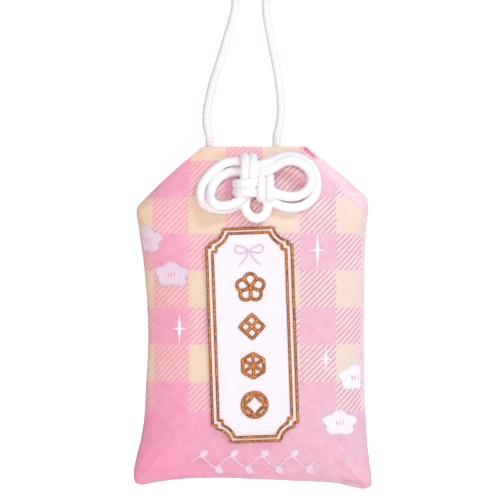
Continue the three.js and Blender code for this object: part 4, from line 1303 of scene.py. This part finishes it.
def makeVine():  # a waving stem with a leaf on the outside of each bend
    perWave, waves, leaf = vine["perWave"], vine["waves"], vine["leaf"]
    steps = waves * perWave
    stem = []
    for i in range(steps + 1):
        wave = vine["swing"] * math.sin(2 * math.pi * waves * i / steps)
        stem.append((vine["length"] * (i / steps - 0.5), pouchFoot + vine["rise"] + wave))
    laid = [([onFront(x, z, threadLift) for x, z in stem], False)]
    stitched("vineBorder", laid, "vine", mistThread, "vine_border")
    leaves = []
    for i in range(waves * 2):
        x, z = stem[(2 * i + 1) * perWave // 4]
        side = 1 if i % 2 == 0 else -1
        for bulge in vine["leafThreads"]:
            belly = [(share * leaf, bulge * vine["leafWidth"]) for share in vine["leafBelly"]]
            spots = turned([(0, 0), *belly, (leaf, 0)], vine["leafTurn"])
            leaves.append([(x + a, z + side * b) for a, b in spots])
    woven("vineLeaves", leaves, mistThread, (), weaving["seeds"]["vine"])


def makeBlossoms():  # five shallow petals, with three stamens in the middle
    form = blossomForm
    edge = around(form["steps"],
                  lambda angle: form["radius"] * (1 - form["scallop"] * (1 - petalEdge(angle))))
    stamens = []
    for i, (name, ((x, drop), node)) in enumerate(blossoms.items()):
        z = pouchTop - drop
        petals = [(x + a, z + b * form["squeeze"]) for a, b in edge]
        material = paleThread if x < 0 else whiteThread
        lines = fillLines(petals, weaving["row"], form["threadTurn"])
        woven(name, lines, material, (node,), weaving["seeds"]["blossoms"] + i)
        for side in (-1, 0, 1):
            foot = (x + side * form["spread"] * form["footSpread"], z + form["stamen"] * form["foot"])
            stamens.append([foot, (x + side * form["spread"], z + form["stamen"] * form["tip"])])
    woven("blossomStamens", stamens, roseThread, (), weaving["seeds"]["stamens"],
          weaving["thread"] / 2)


def makeSparkles():  # four thin points
    for i, (name, ((x, drop), height, width, node)) in enumerate(sparkles.items()):
        z = pouchTop - drop
        lines = []
        for aside, share in sparkleThreads:
            tall, wide = share * height / 2, share * width / 2
            lines.append([(x + aside, z - tall), (x + aside, z + tall)])
            lines.append([(x - wide, z + aside), (x + wide, z + aside)])
        woven(name, lines, whiteThread, (node,), weaving["seeds"]["sparkles"] + i)


makeVine()
makeBlossoms()
makeSparkles()


# what the pouch holds

wadding = {
    "columns": 20, "rows": 34, "edgeStep": 0.002, "fill": 0.3,
    "even": 0.85, "swell": 0.008, "seed": 8,  # even is the share of the thickness that doesn't swell
}
seamThreads = {
    "inset": 0.0013, "ease": 0.0001,  # from the seam, and what a thread may stick out of its CAD box
    "nodes": {"leftSeamThread": "left_seam_thread", "rightSeamThread": "right_seam_thread",
              "bottomSeamThread": "bottom_seam_thread"},
}


def makeWadding():
    low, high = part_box("wadding_sheet")
    ends = [(low.x, high.z), (low.x, low.z), (high.x, low.z), (high.x, high.z)]
    edge = np.array(subdivided(ends, True, wadding["edgeStep"]))
    marks = [int(np.argmin(np.linalg.norm(edge - np.array(end), axis=1))) for end in ends]
    grid = clothGrid(edge, marks, wadding["columns"], wadding["rows"])
    swell = softSwell(grid[..., 0], grid[..., 1], wadding["swell"], wadding["seed"])
    thick = (high.y - low.y) / 2 * (wadding["even"] + (1 - wadding["even"]) * swell)
    points, faces, *_ = pillow(grid, thick)
    points[:, 1] += (low.y + high.y) / 2
    mesh = newMesh("waddingSheet", points, faces, material=cotton)
    sheet = newPiece("waddingSheet", mesh, "pouch", ("wadding_sheet",))


def offsetLine(line, distance):  # moves a closed anticlockwise line inwards, with mitred corners
    spots = np.array(line, float)
    arriving = spots - np.roll(spots, 1, axis=0)
    leaving = np.roll(spots, -1, axis=0) - spots
    arriving /= np.linalg.norm(arriving, axis=1, keepdims=True)
    leaving /= np.linalg.norm(leaving, axis=1, keepdims=True)
    both = arriving + leaving
    left = np.stack([-both[:, 1], both[:, 0]], axis=1)
    return spots + left * distance / (1 + (arriving * leaving).sum(1, keepdims=True))


def makeSeamStitches():
    seam, ease = offsetLine(pouchEdge, seamThreads["inset"]), seamThreads["ease"]
    for name, node in seamThreads["nodes"].items():
        low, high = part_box(node)
        line = [(x, 0.0, z) for x, z in seam if low.x - ease < x < high.x + ease and low.z < z < high.z]
        stitched(name, [(line, False)], "seam", whiteThread, node)


def dressNode(name, material):
    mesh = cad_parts[name].data
    mesh.materials.clear()
    mesh.materials.append(material)


makeWadding()
makeSeamStitches()
dressNode("stiffener_card", pulpBoard)
dressNode("paper_wrapper", mulberryPaper)
dressNode("wooden_tablet", cedar)
print("filling dressed")


# stage

stage = {
    "floor": -0.16, "front": -2.0, "back": 1.5, "halfWidth": 2.0,
    "height": 1.5, "bend": 0.6, "bendSteps": 12,
    "tones": ((0.93, 0.93, 0.93, 1), (0.95, 0.95, 0.95, 1)), "speckle": 9.0, "speckleEdge": (0.2, 0.8),
    "glow": 0.62, "backGlow": (0.12, 0.36), "floorGlow": (0.02, 0.45),  # from where to where it sets in
    "world": 0.21, "seenWorld": 0.84,  # light from all round, and how bright the camera sees it
    "middle": (0, 0, -0.07),  # what the lights point at
}
lights = {  # place, size, power and colour: the warm fill makes warm shadows
    "keyLight": ((0.31, -0.33, 0.32), 0.17, 1.55, (0.78, 1.02, 1.22)),
    "fillLight": ((-0.03, -0.6, -0.02), 0.3, 1.78, (1.11, 0.99, 0.89)),
    "backLight": ((0.15, 0.6, 0.25), 0.4, 1.9, (1, 1, 1)),
}


def paleFloor():
    material, tree, shader = newMaterial("paleFloor", {
        "Roughness": 0.9, "Specular IOR Level": 0.1, "Emission Color": (1, 1, 1, 1)})
    place = objectCoords(tree)
    tone = ramp(tree, noise(tree, place, stage["speckle"]), *stage["speckleEdge"])
    ground = vectorCalc(tree, "MULTIPLY", {0: place, 1: (1, 1, 0)})
    away = vectorCalc(tree, "LENGTH", {0: ground}, "Value")
    seen = put(tree, "ShaderNodeLightPath").outputs["Is Camera Ray"]
    nearby = calc(tree, "MULTIPLY", ramp(tree, away, *stage["floorGlow"]), seen)  # lights nothing
    glow = calc(tree, "MAXIMUM", ramp(tree, parts(tree, place)["Y"], *stage["backGlow"]), nearby)
    tree.links.new(calc(tree, "MULTIPLY", glow, stage["glow"]), shader.inputs["Emission Strength"])
    tree.links.new(mixColor(tree, tone, *stage["tones"]), shader.inputs["Base Color"])
    return material


def makeStage():
    bend, steps = stage["bend"], stage["bendSteps"]
    profile = [(stage["front"], stage["floor"])]
    for i in range(steps + 1):
        angle = math.pi / 2 * i / steps
        profile.append((stage["back"] - bend * (1 - math.sin(angle)),
                        stage["floor"] + bend * (1 - math.cos(angle))))
    profile.append((stage["back"], stage["height"]))
    points = [(x, y, z) for y, z in profile for x in (-stage["halfWidth"], stage["halfWidth"])]
    faces = [(2 * i, 2 * i + 1, 2 * i + 3, 2 * i + 2) for i in range(len(profile) - 1)]
    newPiece("paleSweep", newMesh("paleSweep", points, faces, material=paleFloor()))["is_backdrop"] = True


def makeLights():
    for name, (place, size, power, color) in lights.items():
        data = bpy.data.lights.new(name, "AREA")
        data.shape, data.size, data.energy = "DISK", size, power
        data.color = color
        light = bpy.data.objects.new(name, data)
        light.location = place
        away = Vector(stage["middle"]) - Vector(place)
        light.rotation_euler = away.to_track_quat("-Z", "Y").to_euler()
        scene.collection.objects.link(light)


def makeWorld():
    scene.world = scene.world or bpy.data.worlds.new("studio")
    scene.world.use_nodes = True
    tree = scene.world.node_tree
    seen = put(tree, "ShaderNodeLightPath").outputs["Is Camera Ray"]
    strength = result(tree, "ShaderNodeMix", {0: seen, 2: stage["world"], 3: stage["seenWorld"]})
    background = tree.nodes["Background"].inputs
    background["Color"].default_value = (1, 1, 1, 1)
    tree.links.new(strength, background["Strength"])
    scene.view_settings.view_transform = "Standard"
    scene.view_settings.look = "None"


makeStage()
makeLights()
makeWorld()
print("stage with", len(lights), "lights")

visualBox = [list(corner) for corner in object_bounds()]
for name, (low, high) in (("cad", cadBox), ("visual", visualBox)):
    print(name, "box", [round(value, 4) for value in low + high])
